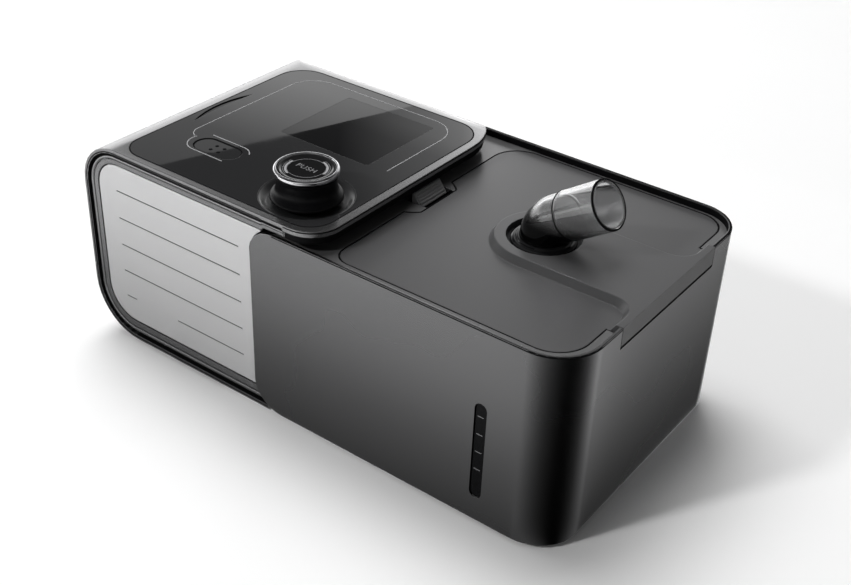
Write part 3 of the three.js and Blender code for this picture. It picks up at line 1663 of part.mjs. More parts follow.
function elbowBend() {
  const bottom = rimHeight - elbowSink;
  const outer = elbowRadius - bendTaper;
  const tube = bentTube(outer, bottom, elbowSeam);
  const cuffBottom = seatFloor + cuffSink + fitGap;
  const cuff = ring(seatX, lidCentreY, outer - elbowWall / 2, cuffRadius, cuffBottom, cuffBottom + cuffHeight);
  const bore = bentTube(outer - elbowWall, bottom - cutOverrun, elbowSeam + cutOverrun);
  return cut(join(tube, cuff), bore);
}

function outletCone() {
  const length = outletReach - elbowSeam - fitGap;
  const bore = elbowRadius - elbowWall;
  const edge = outletLipHeight / 2;
  const profile = points(
    [bore, 0], [elbowRadius - edge, 0], [elbowRadius, edge], [elbowRadius, length], [bore, length], [bore, 0],
  );
  const segments = circle(0, 0, elbowRadius).length;
  const geometry = new THREE.LatheGeometry(profile, segments).rotateX(quarter);
  geometry.applyQuaternion(new THREE.Quaternion().setFromUnitVectors(Z, outletDirection));
  const start = alongOutlet(elbowSeam + fitGap);
  return solid(geometry.translate(start.x, start.y, start.z));
}

// Catch: a ribbed thumb piece that rocks on a pin inside the lid's bay.
function catchLever() {
  const x0 = catchX;
  const faceTop = x0 + catchTopFlat;
  const faceBottomX = x0 + catchFaceRun + catchTopFlat;
  const faceBottomZ = catchTop - catchFaceDrop;
  const outline = points(
    [x0, catchBottom], [x0 + catchBodyWidth, catchBottom], [x0 + catchBodyWidth, faceBottomZ - catchTopFlat],
    [faceBottomX, faceBottomZ], [faceTop, catchTop], [x0, catchTop],
  );
  const y0 = catchCentreY - catchWidth / 2;
  const y1 = catchCentreY + catchWidth / 2;
  const run = new THREE.Vector2(faceBottomX - faceTop, faceBottomZ - catchTop);
  const out = new THREE.Vector2(-run.y, run.x).normalize().multiplyScalar(catchRibHeight);
  const ribs = [];
  for (let i = 0; i < catchRibCount; i++) {
    const at = (share) => new THREE.Vector2(faceTop, catchTop).addScaledVector(run, share);
    const from = at((i + 0.25) / catchRibCount);
    const to = at((i + 0.75) / catchRibCount);
    const rib = [
      from.clone().add(out), to.clone().add(out), to.clone().sub(out), from.clone().sub(out),
    ];
    ribs.push(alongY(rib, y0 + catchTopFlat, y1 - catchTopFlat));
  }
  const bore = rodY(catchPinX, catchPinZ, catchPinRadius + fitGap / 2, y0 - cutOverrun, y1 + cutOverrun);
  return cut(join(alongY(outline, y0, y1), ...ribs), bore);
}

function catchPin() {
  const half = catchWidth / 2 + catchPinReach;
  return rodY(catchPinX, catchPinZ, catchPinRadius, catchCentreY - half, catchCentreY + half);
}

// Materials: colour, roughness and metalness of each finish.
function finish(color, roughness, metalness = 0, opacity = 1) {
  return () => new THREE.MeshStandardMaterial({
    color, roughness, metalness, opacity, transparent: opacity < 1, flatShading: true,
  });
}

const satinCharcoal = finish(0x2b2c2e, 0.5);
const darkCase = finish(0x1b1c1e, 0.42);
const paleSilver = finish(0xc9cacc, 0.45, 0.15);
const glossBlack = finish(0x0b0b0d, 0.08);
const mattBlack = finish(0x111113, 0.7);
const brightMetal = finish(0xd6d7d9, 0.12, 1);
const steel = finish(0x9a9da1, 0.35, 1);
const clearSmoke = finish(0xb9bfc4, 0.05, 0, 0.35);
const rubber = finish(0x17181a, 0.9);
const foam = finish(0x3a3c40, 1);
const paleFilter = finish(0xe6e6e2, 0.95);
const circuitGreen = finish(0x1f5a3c, 0.6);
const innerGrey = finish(0x55585c, 0.6);

const pieces = {
  upper_shell: [upperShell, darkCase],
  lower_shell: [lowerShell, darkCase],
  front_frame: [frontFrame, darkCase],
  front_panel: [frontPanel, paleSilver],
  rear_panel: [rearPanel, satinCharcoal],
  dock_plate: [dockPlate, mattBlack],
  dock_socket: [dockSocket, mattBlack],
  top_fascia: [topFascia, glossBlack],
  display_lens: [displayLens, glossBlack],
  display_module: [displayModule, innerGrey],
  status_lens: [statusLens, glossBlack],
  knob_bezel: [knobBezel, glossBlack],
  encoder_body: [encoderBody, innerGrey],
  mode_switch: [modeSwitch, mattBlack],
  control_board: [controlBoard, circuitGreen],
  case_screw_front_left: [() => caseScrew(pillarLeft, -pillarHalf), steel],
  case_screw_front_right: [() => caseScrew(pillarRight, -pillarHalf), steel],
  case_screw_back_left: [() => caseScrew(pillarLeft, pillarHalf), steel],
  case_screw_back_right: [() => caseScrew(pillarRight, pillarHalf), steel],
  blower_foot_front: [() => rail(blowerRailLeft, blowerRailRight, -railY), rubber],
  blower_foot_back: [() => rail(blowerRailLeft, blowerRailRight, railY), rubber],
  volute_lower: [voluteLower, innerGrey],
  volute_upper: [voluteUpper, innerGrey],
  fan_mount: [fanMount, rubber],
  motor_can: [motorCan, steel],
  outlet_duct: [outletDuct, innerGrey],
  nozzle_gasket: [nozzleGasket, rubber],
  silencer_foam: [silencerFoam, foam],
  air_filter: [airFilter, paleFilter],
  filter_door_pin: [filterDoorPin, steel],
  power_inlet: [powerInlet, mattBlack],
  power_pin: [powerPin, steel],
  card_reader: [cardReader, steel],
  encoder_shaft: [encoderShaft, steel],
  knob_grip: [knobGrip, mattBlack],
  knob_ring: [knobRing, brightMetal],
  knob_cap: [knobCap, glossBlack],
  mode_button: [modeButton, glossBlack],
  impeller: [impeller, paleSilver],
  rotor_shaft: [rotorShaft, steel],
  filter_door: [filterDoor, satinCharcoal],
  memory_card: [memoryCard, mattBlack],
  humidifier_shell: [humidifierShell, satinCharcoal],
  humidifier_base: [humidifierBase, satinCharcoal],
  humidifier_foot_front: [() => rail(humRailLeft, humRailRight, -railY), rubber],
  humidifier_foot_back: [() => rail(humRailLeft, humRailRight, railY), rubber],
  level_window: [levelWindow, clearSmoke],
  water_tank: [waterTank, clearSmoke],
  heater_plate: [heaterPlate, steel],
  heater_pad: [heaterPad, innerGrey],
  inlet_tube: [inletTube, innerGrey],
  dock_plug: [dockPlug, mattBlack],
  hinge_pin: [hingePin, steel],
  catch_pin: [catchPin, steel],
  catch_lever: [catchLever, satinCharcoal],
  lid: [lidPanel, satinCharcoal],
  lid_seal: [lidSeal, rubber],
  outlet_collar: [outletCollar, mattBlack],
  elbow_bend: [elbowBend, clearSmoke],
  outlet_cone: [outletCone, clearSmoke],
};

const machine = new THREE.Group();
machine.position.set(-bodyLength / 2, 0, footHeight);
for (const [name, [build, material]] of Object.entries(pieces)) {
  const mesh = new THREE.Mesh(geometryOf(build()), material());
  mesh.name = name;
  machine.add(mesh);
}

const group = new THREE.Group();
group.add(machine);

export default group;
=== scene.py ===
# %% [markdown]
# # A bedside breathing-therapy machine, from CAD parts to a studio picture
#
# The machine is a blower with a turn-and-press knob, and a humidifier that docks against its right side.
# Its solids come from a CAD program, exact and sharp. Here each visible one gets the softened edges, fine
# grain and gloss of the real moulding, and the small things that a CAD model leaves out: printed lines, the
# ring and the lettering on the knob, the marks on the water window. Everything is in metres, in the CAD
# part's own place.

# %% Load the CAD part
import json
import math

import bmesh
import bpy
from mathutils import Matrix, Vector


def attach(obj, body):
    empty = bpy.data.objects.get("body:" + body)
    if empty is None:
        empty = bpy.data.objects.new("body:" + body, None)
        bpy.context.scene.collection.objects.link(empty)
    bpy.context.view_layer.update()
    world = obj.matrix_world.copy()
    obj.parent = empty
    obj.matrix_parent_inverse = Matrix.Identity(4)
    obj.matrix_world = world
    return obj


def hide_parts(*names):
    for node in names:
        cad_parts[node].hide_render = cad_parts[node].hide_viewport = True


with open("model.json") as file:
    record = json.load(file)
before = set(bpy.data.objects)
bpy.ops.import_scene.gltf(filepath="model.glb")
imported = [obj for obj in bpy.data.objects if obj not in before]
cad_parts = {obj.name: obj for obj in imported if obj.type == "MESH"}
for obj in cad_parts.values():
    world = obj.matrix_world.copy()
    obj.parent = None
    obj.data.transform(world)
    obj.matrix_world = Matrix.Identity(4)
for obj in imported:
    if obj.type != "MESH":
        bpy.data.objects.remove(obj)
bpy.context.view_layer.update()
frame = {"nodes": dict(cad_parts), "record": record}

scene = bpy.context.scene
print("CAD parts:", len(frame["nodes"]))

# %% [markdown]
# ## Where things are
#
# The machine was measured from the left end, the middle of its depth and the underside of its case, in
# millimetres. One small function turns such a place into Blender's metres, so every number below can be
# read as a distance on the real machine.

# %% From the machine's millimetres to metres
MM = 0.001
HALF_LENGTH = 133.0
FOOT_HEIGHT = 2.0


def at(x, y, z):
    return Vector(((x - HALF_LENGTH) * MM, y * MM, (z + FOOT_HEIGHT) * MM))


print("left end, underside:", at(0, 0, 0))

# %% [markdown]
# ## The camera
#
# A product picture is easiest to compare when the camera stands where the photographer stood. The direction
# is given by two angles and a small roll, which turn into three axes: to the right, up, and backwards out
# of the lens. A matrix of those axes places the camera without any trial and error.

# %% Camera at the photograph's place
def in_scene(name, data):
    thing = bpy.data.objects.new(name, data)
    scene.collection.objects.link(thing)
    return thing


VIEW_AZIMUTH = math.radians(35.5386)
VIEW_ELEVATION = math.radians(33.2188)
VIEW_ROLL = math.radians(2.4536)
CAMERA_PLACE = Vector((0.304547, -0.407349, 0.371641))

backwards = Vector((
    math.sin(VIEW_AZIMUTH) * math.cos(VIEW_ELEVATION),
    -math.cos(VIEW_AZIMUTH) * math.cos(VIEW_ELEVATION),
    math.sin(VIEW_ELEVATION),
))
level_right = Vector((math.cos(VIEW_AZIMUTH), math.sin(VIEW_AZIMUTH), 0))
level_up = backwards.cross(level_right)
rolled_right = math.cos(VIEW_ROLL) * level_right + math.sin(VIEW_ROLL) * level_up
rolled_up = -math.sin(VIEW_ROLL) * level_right + math.cos(VIEW_ROLL) * level_up

lens = bpy.data.cameras.new("product_camera")
lens.lens = 54.23
lens.sensor_width = 36.0
lens.clip_start = 0.01
camera = in_scene("product_camera", lens)
camera_turn = Matrix((rolled_right, rolled_up, backwards)).transposed().to_4x4()
camera.matrix_world = Matrix.Translation(CAMERA_PLACE) @ camera_turn
scene.camera = camera
scene.view_settings.view_transform = "Standard"
print("camera at", CAMERA_PLACE)

# %% [markdown]
# ## Floor and studio light
#
# The machine stands on a plain white sweep. White things look white when the light that reaches the floor
# adds up to about one, so the lamps are kept at a plain level: a small lamp at the front left, whose shadow
# falls to the back right, and a broad one high at the back left, whose soft shadow darkens the floor before
# the front. The sky of the studio is white near the floor and dims overhead, so rounded edges show it as a
# dark line. It is dimmer on the right too, where the shadow of the machine is deepest.

# %% Floor
def shader_material(name, colour, roughness, metallic=0.0, specular=0.5):
    material = bpy.data.materials.new(name)
    material.use_nodes = True
    shader = material.node_tree.nodes["Principled BSDF"]
    shader.inputs["Base Color"].default_value = (*colour, 1)
    shader.inputs["Roughness"].default_value = roughness
    shader.inputs["Metallic"].default_value = metallic
    shader.inputs["Specular IOR Level"].default_value = specular
    material.diffuse_color = (*colour, 1)
    return material, material.node_tree, shader


def stage_plane(name, corners, material):
    mesh = bpy.data.meshes.new(name)
    mesh.from_pydata(corners, [], [tuple(range(len(corners)))])
    mesh.materials.append(material)
    plane = in_scene(name, mesh)
    return plane


FLOOR_HALF = 6.0
white_sweep = shader_material("white_sweep", (0.93, 0.93, 0.93), 0.9, specular=0.1)[0]
stage_plane("floor", [
    (-FLOOR_HALF, -FLOOR_HALF, 0), (FLOOR_HALF, -FLOOR_HALF, 0),
    (FLOOR_HALF, FLOOR_HALF, 0), (-FLOOR_HALF, FLOOR_HALF, 0),
], white_sweep)
print("floor side:", 2 * FLOOR_HALF, "m")

# %% [markdown]
# A look in Blender is a small network of nodes, and the same few pieces of it come back again and again.
# These functions wire them: a number or a link into a socket, one axis of a vector, one range mapped onto
# another, plain arithmetic, and a mix of two colours.

# %% Short ways to wire nodes
def feed(tree, socket, value):
    if isinstance(value, bpy.types.NodeSocket):
        tree.links.new(value, socket)
    else:
        socket.default_value = value


def own_place(tree):
    return tree.nodes.new("ShaderNodeTexCoord").outputs["Object"]


def axis_of(tree, vector, axis):
    split = tree.nodes.new("ShaderNodeSeparateXYZ")
    tree.links.new(vector, split.inputs["Vector"])
    return split.outputs[axis]


def mapped(tree, value, low, high, start=0.0, end=1.0, interpolation="LINEAR"):
    span = tree.nodes.new("ShaderNodeMapRange")
    span.interpolation_type = interpolation
    for name, number in (("From Min", low), ("From Max", high), ("To Min", start), ("To Max", end)):
        span.inputs[name].default_value = number
    tree.links.new(value, span.inputs["Value"])
    return span.outputs["Result"]


def math_node(tree, operation, first, second):
    node = tree.nodes.new("ShaderNodeMath")
    node.operation = operation
    feed(tree, node.inputs[0], first)
    feed(tree, node.inputs[1], second)
    return node.outputs["Value"]


def mixed(tree, blend, factor, first, second):
    mix = tree.nodes.new("ShaderNodeMix")
    mix.data_type = "RGBA"
    mix.blend_type = blend
    for name, value in (("Factor", factor), ("A", first), ("B", second)):
        feed(tree, mix.inputs[name], value)
    return mix.outputs["Result"]


print("wiring helpers ready")

# %% Sky of the studio: white near the floor, dimmer overhead and to the right
SKY_STOPS = [(0.14, 1.0), (0.30, 0.13)]
SKY_LEFT, SKY_RIGHT, SKY_SPAN = 1.6, 0.3, 0.6
world = bpy.data.worlds.new("studio")
scene.world = world
world.use_nodes = True
sky = world.node_tree
sky_glow = sky.nodes["Background"].inputs
sky_place = sky.nodes.new("ShaderNodeTexCoord").outputs["Generated"]
sky_ramp = sky.nodes.new("ShaderNodeValToRGB")
for element, (height, brightness) in zip(sky_ramp.color_ramp.elements, SKY_STOPS):
    element.position = height
    element.color = (brightness, brightness, brightness, 1)
sky.links.new(axis_of(sky, sky_place, "Z"), sky_ramp.inputs["Fac"])
sky.links.new(sky_ramp.outputs["Color"], sky_glow["Color"])
sky_side = mapped(sky, axis_of(sky, sky_place, "X"), -SKY_SPAN, SKY_SPAN, SKY_LEFT, SKY_RIGHT)
sky.links.new(sky_side, sky_glow["Strength"])
print("sky, height and brightness:", SKY_STOPS)


# %% Lamps
def softbox(name, direction, distance, size, watts):
    lamp = bpy.data.lights.new(name, "AREA")
    lamp.shape = "SQUARE"
    lamp.size = size
    lamp.energy = watts
    box = in_scene(name, lamp)
    box.location = Vector(direction).normalized() * distance
    box.rotation_euler = (-box.location).to_track_quat("-Z", "Y").to_euler()
    box.visible_camera = False
    box.visible_glossy = False


softbox("key_front_left", (-0.35, -0.72, 0.60), distance=3.0, size=0.26, watts=32.0)
softbox("back_left_high", (-0.34, 0.21, 1.0), distance=3.0, size=1.9, watts=78.0)

# %% [markdown]
# ## Cards that only the gloss can see
#
# A photographer shapes reflections with black and white cards held just outside the picture. A tall white
# card behind the machine fades upwards, so the top surfaces are bright at the back and darken to the front.
# Its edge is cut on a slant, which gives the black plate its sharp diagonal line. Strips on the floor,
# before the front and beside the right side, give the upright faces their fall from light to dark, and a
# dark card hangs further off in front. Only mirror-like rays see the cards, so they throw no shadow and
# take no light away.

# %% Cards with a fade
def card_object(name, corners, material):
    card = stage_plane(name, corners, material)
    card.visible_camera = False
    card.visible_diffuse = False
    card.visible_shadow = False
    card.visible_transmission = False
    card.visible_volume_scatter = False


def fade(tree, value, stops):
    """A grey ramp over a value. Stops are (value, brightness). Its peak is given back for the strength."""
    low, high = stops[0][0], stops[-1][0]
    ramp = tree.nodes.new("ShaderNodeValToRGB")
    tree.links.new(mapped(tree, value, low, high), ramp.inputs["Fac"])
    places = ramp.color_ramp.elements
    while len(places) < len(stops):
        places.new(0.5)
    peak = max(brightness for _, brightness in stops)
    for element, (where, brightness) in zip(places, stops):
        element.position = (where - low) / (high - low)
        element.color = (brightness / peak,) * 3 + (1,)
    return ramp.outputs["Color"], peak


def glowing_card(name, finish, corners, *fades):
    """Each fade is an axis, or a function of the place, and its stops. Several fades are multiplied."""
    material = bpy.data.materials.new(finish)
    material.use_nodes = True
    tree = material.node_tree
    tree.nodes.remove(tree.nodes["Principled BSDF"])
    glow = tree.nodes.new("ShaderNodeEmission")
    tree.links.new(glow.outputs["Emission"], tree.nodes["Material Output"].inputs["Surface"])
    place = own_place(tree)
    colour, strength = None, 1.0
    for measure, stops in fades:
        value = measure(tree, place) if callable(measure) else axis_of(tree, place, measure)
        tone, peak = fade(tree, value, stops)
        colour = tone if colour is None else mixed(tree, "MULTIPLY", 1.0, colour, tone)
        strength *= peak
    tree.links.new(colour, glow.inputs["Color"])
    glow.inputs["Strength"].default_value = strength
    card_object(name, corners, material)


print("card helpers ready")

# %% Cards behind the machine
CARD_Y, CARD_LEFT, CARD_RIGHT, CARD_TOP = 0.5, -1.6, 0.9, 1.3
LINE_HIGH = (-0.90, 0.636)
LINE_LOW = (-0.30, 0.327)
glowing_card("card_behind_left", "white_card_left", [
    (CARD_LEFT, CARD_Y, 0.0), (LINE_LOW[0], CARD_Y, 0.0), (LINE_LOW[0], CARD_Y, LINE_LOW[1]),
    (LINE_HIGH[0], CARD_Y, LINE_HIGH[1]), (CARD_LEFT, CARD_Y, LINE_HIGH[1] + 0.6),
], ("Z", [
    (0.30, 1.75), (0.38, 1.70), (0.44, 1.00), (0.475, 0.62), (0.51, 0.56), (0.60, 0.42), (0.80, 0.30),
]))

FURTHER_Y = CARD_Y + 0.01
glowing_card("card_behind_right", "white_card_right", [
    (CARD_LEFT, FURTHER_Y, 0.0), (CARD_RIGHT, FURTHER_Y, 0.0),
    (CARD_RIGHT, FURTHER_Y, CARD_TOP), (CARD_LEFT, FURTHER_Y, CARD_TOP),
], ("Z", [
    (0.30, 1.50), (0.37, 1.45), (0.392, 1.35), (0.413, 0.95), (0.459, 0.76), (0.50, 0.50), (0.53, 0.45),
    (0.60, 0.40), (0.80, 0.20),
]), ("X", [
    (-0.60, 0.10), (-0.47, 0.13), (-0.40, 0.52), (-0.345, 0.80), (-0.315, 1.02), (-0.285, 1.75),
    (-0.25, 1.05), (-0.20, 0.58), (-0.15, 0.80), (-0.12, 0.62), (-0.09, 0.50), (0.0, 0.40), (0.08, 0.10),
]))
print("cards behind the machine stand", CARD_Y, "m back")

# %% Strips on the floor, and a dark card in front
STRIP_HEIGHT, FAN_HEIGHT = 0.0006, 0.0004


def on_floor(height, *corners):
    return [(x, y, height) for x, y in corners]


glowing_card("card_before_front", "floor_fade", on_floor(
    STRIP_HEIGHT, (-0.30, -0.20), (0.045, -0.20), (0.1124, -0.0735), (-0.30, -0.0735),
), ("Y", [(-0.20, 0.82), (-0.16, 0.70), (-0.11, 0.28), (-0.073, 0.12)]))

dark_card = shader_material("dark_card", (0.01, 0.01, 0.01), 1.0, specular=0.0)[0]
card_object("card_in_front", [
    (-2.6, -1.2, 0.30), (-0.05, -1.2, 0.30), (-0.05, -1.2, 3.2), (-2.6, -1.2, 3.2),
], dark_card)

glowing_card("card_beside_right", "floor_fade_right", on_floor(
    STRIP_HEIGHT, (0.1340, -0.0515), (0.26, 0.1856), (0.26, 0.30), (0.1340, 0.30),
), ("X", [(0.134, 0.06), (0.142, 0.085), (0.157, 0.15), (0.180, 0.32), (0.189, 0.40), (0.22, 0.50)]))
print("strips lie", STRIP_HEIGHT, "m over the floor")

# %% [markdown]
# Every bit of the round corner mirrors the floor in its own direction, so the card around it is a fan. Its
# brightness follows the heading from the corner, and grows with the distance from it.

# %% A fan on the floor around the round corner
CORNER = (0.1275, -0.0640, 0.0)


def heading(tree, place):
    across = math_node(tree, "SUBTRACT", axis_of(tree, place, "X"), CORNER[0])
    along = math_node(tree, "SUBTRACT", axis_of(tree, place, "Y"), CORNER[1])
    return math_node(tree, "ARCTAN2", along, across)


def distance_out(tree, place):
    span = tree.nodes.new("ShaderNodeVectorMath")
    span.operation = "DISTANCE"
    span.inputs[1].default_value = CORNER
    tree.links.new(place, span.inputs[0])
    return span.outputs["Value"]


FAN_TONES = [
    (-126, 0.35), (-114, 0.25), (-96, 0.14), (-80, 0.07), (-63, 0.03), (-46, 0.010), (-29, 0.0), (-12, 0.0),
    (4, 0.01), (21, 0.05), (36, 0.17), (54, 0.38), (62, 0.46), (66, 0.40),
]
glowing_card("card_around_corner", "floor_fan", on_floor(
    FAN_HEIGHT, (-0.05, -0.60), (0.60, -0.60), (0.60, 0.30), (-0.05, 0.30),
), (
    heading, [(math.radians(angle), tone) for angle, tone in FAN_TONES],
), (
    distance_out, [(0.02, 0.5), (0.06, 1.0), (0.115, 2.1), (0.16, 2.5)],
))
print("fan drawn from", len(FAN_TONES), "headings")

# %% [markdown]
# ## Finishes
#
# ### Effects that several finishes share
#
# Moulded plastic is never perfectly smooth. The mould's own texture leaves a fine grain, and the colour
# drifts a little over a large surface. Many finishes need both, so they are a node group with named inputs,
# built once. A group gives out only heights, tones and masks. The shader stays in the material, where its
# plain numbers are easy to see.

# %% A node group for moulded grain
def group_with(name, inputs, outputs):
    group = bpy.data.node_groups.new(name, "ShaderNodeTree")
    for socket, value in inputs:
        made = group.interface.new_socket(socket, in_out="INPUT", socket_type="NodeSocketFloat")
        made.default_value = value
    for socket in outputs:
        group.interface.new_socket(socket, in_out="OUTPUT", socket_type="NodeSocketFloat")
    entry = group.nodes.new("NodeGroupInput")
    leave = group.nodes.new("NodeGroupOutput")
    return group, entry.outputs, leave.inputs


def noise(tree, place, scale, detail):
    node = tree.nodes.new("ShaderNodeTexNoise")
    node.inputs["Detail"].default_value = detail
    tree.links.new(place, node.inputs["Vector"])
    feed(tree, node.inputs["Scale"], scale)
    return node.outputs["Fac"]


grain_group, grain_in, grain_out = group_with(
    "moulded_grain", [("Grain scale", 2600.0), ("Drift scale", 9.0), ("Drift", 0.08)],
    ["Height", "Tone", "Roughness drift"],
)
grain_place = own_place(grain_group)
fine = noise(grain_group, grain_place, grain_in["Grain scale"], detail=1.0)
broad = noise(grain_group, grain_place, grain_in["Drift scale"], detail=3.0)
broad_signed = math_node(grain_group, "SUBTRACT", broad, 0.5)
drift = math_node(grain_group, "MULTIPLY", broad_signed, grain_in["Drift"])
grain_group.links.new(fine, grain_out["Height"])
grain_group.links.new(math_node(grain_group, "ADD", drift, 1.0), grain_out["Tone"])
grain_group.links.new(drift, grain_out["Roughness drift"])
print("group:", grain_group.name)

# %% [markdown]
# Polished black plastic shows every touch. A second group makes faint smears: soft patches where the
# surface is a touch rougher than the rest, and a slow ripple that keeps the reflections from being
# perfectly straight.

# %% A node group for faint smears on gloss
smear_group, smear_in, smear_out = group_with(
    "faint_smears", [("Patch scale", 30.0), ("Strength", 0.05)], ["Roughness", "Height"],
)
smear_place = own_place(smear_group)
patches = noise(smear_group, smear_place, smear_in["Patch scale"], detail=4.0)
PATCH_EDGE, RIPPLE_SCALE = 0.52, 140.0
patch_mask = math_node(smear_group, "MAXIMUM", math_node(smear_group, "SUBTRACT", patches, PATCH_EDGE), 0.0)
patch_rough = math_node(smear_group, "MULTIPLY", patch_mask, smear_in["Strength"])
smear_group.links.new(patch_rough, smear_out["Roughness"])
smear_group.links.new(noise(smear_group, smear_place, RIPPLE_SCALE, detail=1.0), smear_out["Height"])
print("group:", smear_group.name)

# %% [markdown]
# Turned and drawn metal carries fine parallel lines. Stretching a noise along one axis gives them: the
# scale is large across the lines and small along them.

# %% A node group for brushed lines
brush_group, brush_in, brush_out = group_with("brushed_lines", [("Line scale", 900.0)], ["Height", "Tone"])
stretch = brush_group.nodes.new("ShaderNodeVectorMath")
stretch.operation = "MULTIPLY"
ALONG_LINES, ACROSS_LINES = 0.03, 1.0
stretch.inputs[1].default_value = (ALONG_LINES, ALONG_LINES, ACROSS_LINES)
brush_group.links.new(own_place(brush_group), stretch.inputs[0])
lines = noise(brush_group, stretch.outputs["Vector"], brush_in["Line scale"], detail=2.0)
line_tone = math_node(brush_group, "ADD", math_node(brush_group, "MULTIPLY", lines, 0.2), 0.9)
brush_group.links.new(lines, brush_out["Height"])
brush_group.links.new(line_tone, brush_out["Tone"])
print("group:", brush_group.name)

# %% [markdown]
# ### The finishes themselves
#
# Each finish is a Principled shader with its plain values set on the shader, and the shared effects wired
# to its colour, roughness and bump. Most of the machine is moulded plastic, so one function makes those,
# and the special ones follow: polished black, bright metal, clear tube, foam and fleece.

# %% Moulded plastics
def place_group(tree, group, **values):
    node = tree.nodes.new("ShaderNodeGroup")
    node.node_tree = group
    for socket, value in values.items():
        node.inputs[socket.replace("_", " ")].default_value = value
    return node.outputs


def tinted(tree, shader, colour, tone):
    tree.links.new(mixed(tree, "MULTIPLY", 1.0, (*colour, 1), tone), shader.inputs["Base Color"])


def roughened(tree, shader, roughness, change):
    tree.links.new(math_node(tree, "ADD", change, roughness), shader.inputs["Roughness"])


def bumped(tree, shader, height, strength, distance):
    bump = tree.nodes.new("ShaderNodeBump")
    bump.inputs["Strength"].default_value = strength
    bump.inputs["Distance"].default_value = distance
    tree.links.new(height, bump.inputs["Height"])
    tree.links.new(bump.outputs["Normal"], shader.inputs["Normal"])


def moulded(name, colour, roughness, grain=2600.0, bump=0.12, metallic=0.0, specular=0.5, drift=0.08):
    material, tree, shader = shader_material(name, colour, roughness, metallic, specular)
    effect = place_group(tree, grain_group, Grain_scale=grain, Drift=drift)
    tinted(tree, shader, colour, effect["Tone"])
    roughened(tree, shader, roughness, effect["Roughness drift"])
    bumped(tree, shader, effect["Height"], bump, 0.0001)
    return material


GRAPHITE = (0.215, 0.215, 0.218)
satin_case = moulded("graphite_case", (0.28, 0.28, 0.284), 0.24, bump=0.05, metallic=0.92)
charcoal = moulded("graphite_humidifier", GRAPHITE, 0.27, bump=0.07, metallic=1.0)
lid_satin = moulded("graphite_lid", (0.100, 0.100, 0.102), 0.33, bump=0.07, metallic=0.35)
frame_grey = moulded("graphite_trim", (0.30, 0.30, 0.305), 0.22, bump=0.04, metallic=0.9)
silver_panel = moulded("silver_panel", (0.70, 0.70, 0.705), 0.36, metallic=0.6, bump=0.06, drift=0.03)
matt_black = moulded("matt_black", (0.012, 0.012, 0.013), 0.55)
inner_plastic = moulded("inner_plastic", (0.11, 0.115, 0.12), 0.55)
board_green = moulded("board_green", (0.02, 0.11, 0.06), 0.45)
rubber = moulded("soft_rubber", (0.014, 0.014, 0.015), 0.85, grain=1500.0, bump=0.3, specular=0.3)
groove_dark = moulded("groove_dark", (0.02, 0.02, 0.022), 0.6)
# Black for dots, seams and the frame's channel, and for the strips of painted shade and painted reflection
# along the rim, the slab, the gaps and the elbow
black_marks_and_painted_shade = moulded("black_marks_and_painted_shade", (0.005, 0.005, 0.0055), 0.75, specular=0.08)
knob_black = moulded("knob_black", (0.005, 0.005, 0.0055), 0.32, bump=0.03, specular=0.12)
catch_satin = moulded("catch_satin", (0.220, 0.220, 0.223), 0.45, bump=0.05)
dish_satin = moulded("dish_satin", (0.016, 0.0163, 0.017), 0.30, bump=0.02, specular=0.45)
ink_light = moulded("ink_light", (0.30, 0.30, 0.31), 0.5, bump=0.0)
ink_faint = moulded("ink_faint", (0.17, 0.17, 0.175), 0.5, bump=0.0)
print("moulded finishes ready")

# %% [markdown]
# The humidifier's shell is graphite too, but its low ledge beside the slab would mirror hardly anything
# except the slab's dark side. So the finish turns less metallic and a little darker wherever a face looks
# up and lies low, which lets those faces show the lamps' light: painted light on the top of the ledge.

# %% Humidifier shell with painted light on its low ledge
LEDGE_LIT_GREY, LEDGE_LIT_METALLIC = (0.150, 0.150, 0.152), 0.40
LEDGE_FROM, LEDGE_TO = 0.0945, 0.0950
shell_finish = moulded("graphite_shell", GRAPHITE, 0.27, bump=0.07, metallic=1.0)
shell = shell_finish.node_tree
shell_inputs = shell.nodes["Principled BSDF"].inputs
shell_normal = shell.nodes.new("ShaderNodeNewGeometry").outputs["Normal"]
looks_up = mapped(shell, axis_of(shell, shell_normal, "Z"), 0.80, 0.97)
lies_low = mapped(shell, axis_of(shell, own_place(shell), "Z"), LEDGE_FROM, LEDGE_TO, 1.0, 0.0)
# Painted light: faces that look up and lie low take a plainer, less metallic copy of the finish
ledge = math_node(shell, "MULTIPLY", looks_up, lies_low)
shell.links.new(mapped(shell, ledge, 0.0, 1.0, 1.0, LEDGE_LIT_METALLIC), shell_inputs["Metallic"])
shell.links.new(mixed(shell, "MIX", ledge, (*GRAPHITE, 1), (*LEDGE_LIT_GREY, 1)), shell_inputs["Base Color"])
print("ledge below", LEDGE_TO, "m")


# %% Polished black plastics
def smeared(tree, shader, roughness, smears, bump, distance):
    effect = place_group(tree, smear_group, Strength=smears)
    roughened(tree, shader, roughness, effect["Roughness"])
    bumped(tree, shader, effect["Height"], bump, distance)


def polished(name, colour, roughness, specular=0.5):
    material, tree, shader = shader_material(name, colour, roughness, specular=specular)
    smeared(tree, shader, roughness, smears=0.12, bump=0.01, distance=0.0001)
    return material


gloss_plate = polished("gloss_plate", (0.020, 0.0202, 0.021), 0.02, specular=0.32)
gloss_black = polished("gloss_black", (0.006, 0.006, 0.0065), 0.04)
screen_glass = polished("screen_glass", (0.003, 0.003, 0.0035), 0.015, specular=0.26)
window_dark = polished("window_dark", (0.003, 0.003, 0.0035), 0.10, specular=0.12)
print("polished finishes ready")


# %% Metals
def metal(name, colour, roughness, line_scale, bump):
    material, tree, shader = shader_material(name, colour, roughness, metallic=1.0)
    effect = place_group(tree, brush_group, Line_scale=line_scale)
    tinted(tree, shader, colour, effect["Tone"])
    bumped(tree, shader, effect["Height"], bump, 0.00005)
    return material


bright_metal = metal("bright_metal", (0.78, 0.78, 0.80), 0.10, 3000.0, 0.03)
steel = metal("plain_steel", (0.50, 0.51, 0.52), 0.32, 900.0, 0.15)
print("metals ready")
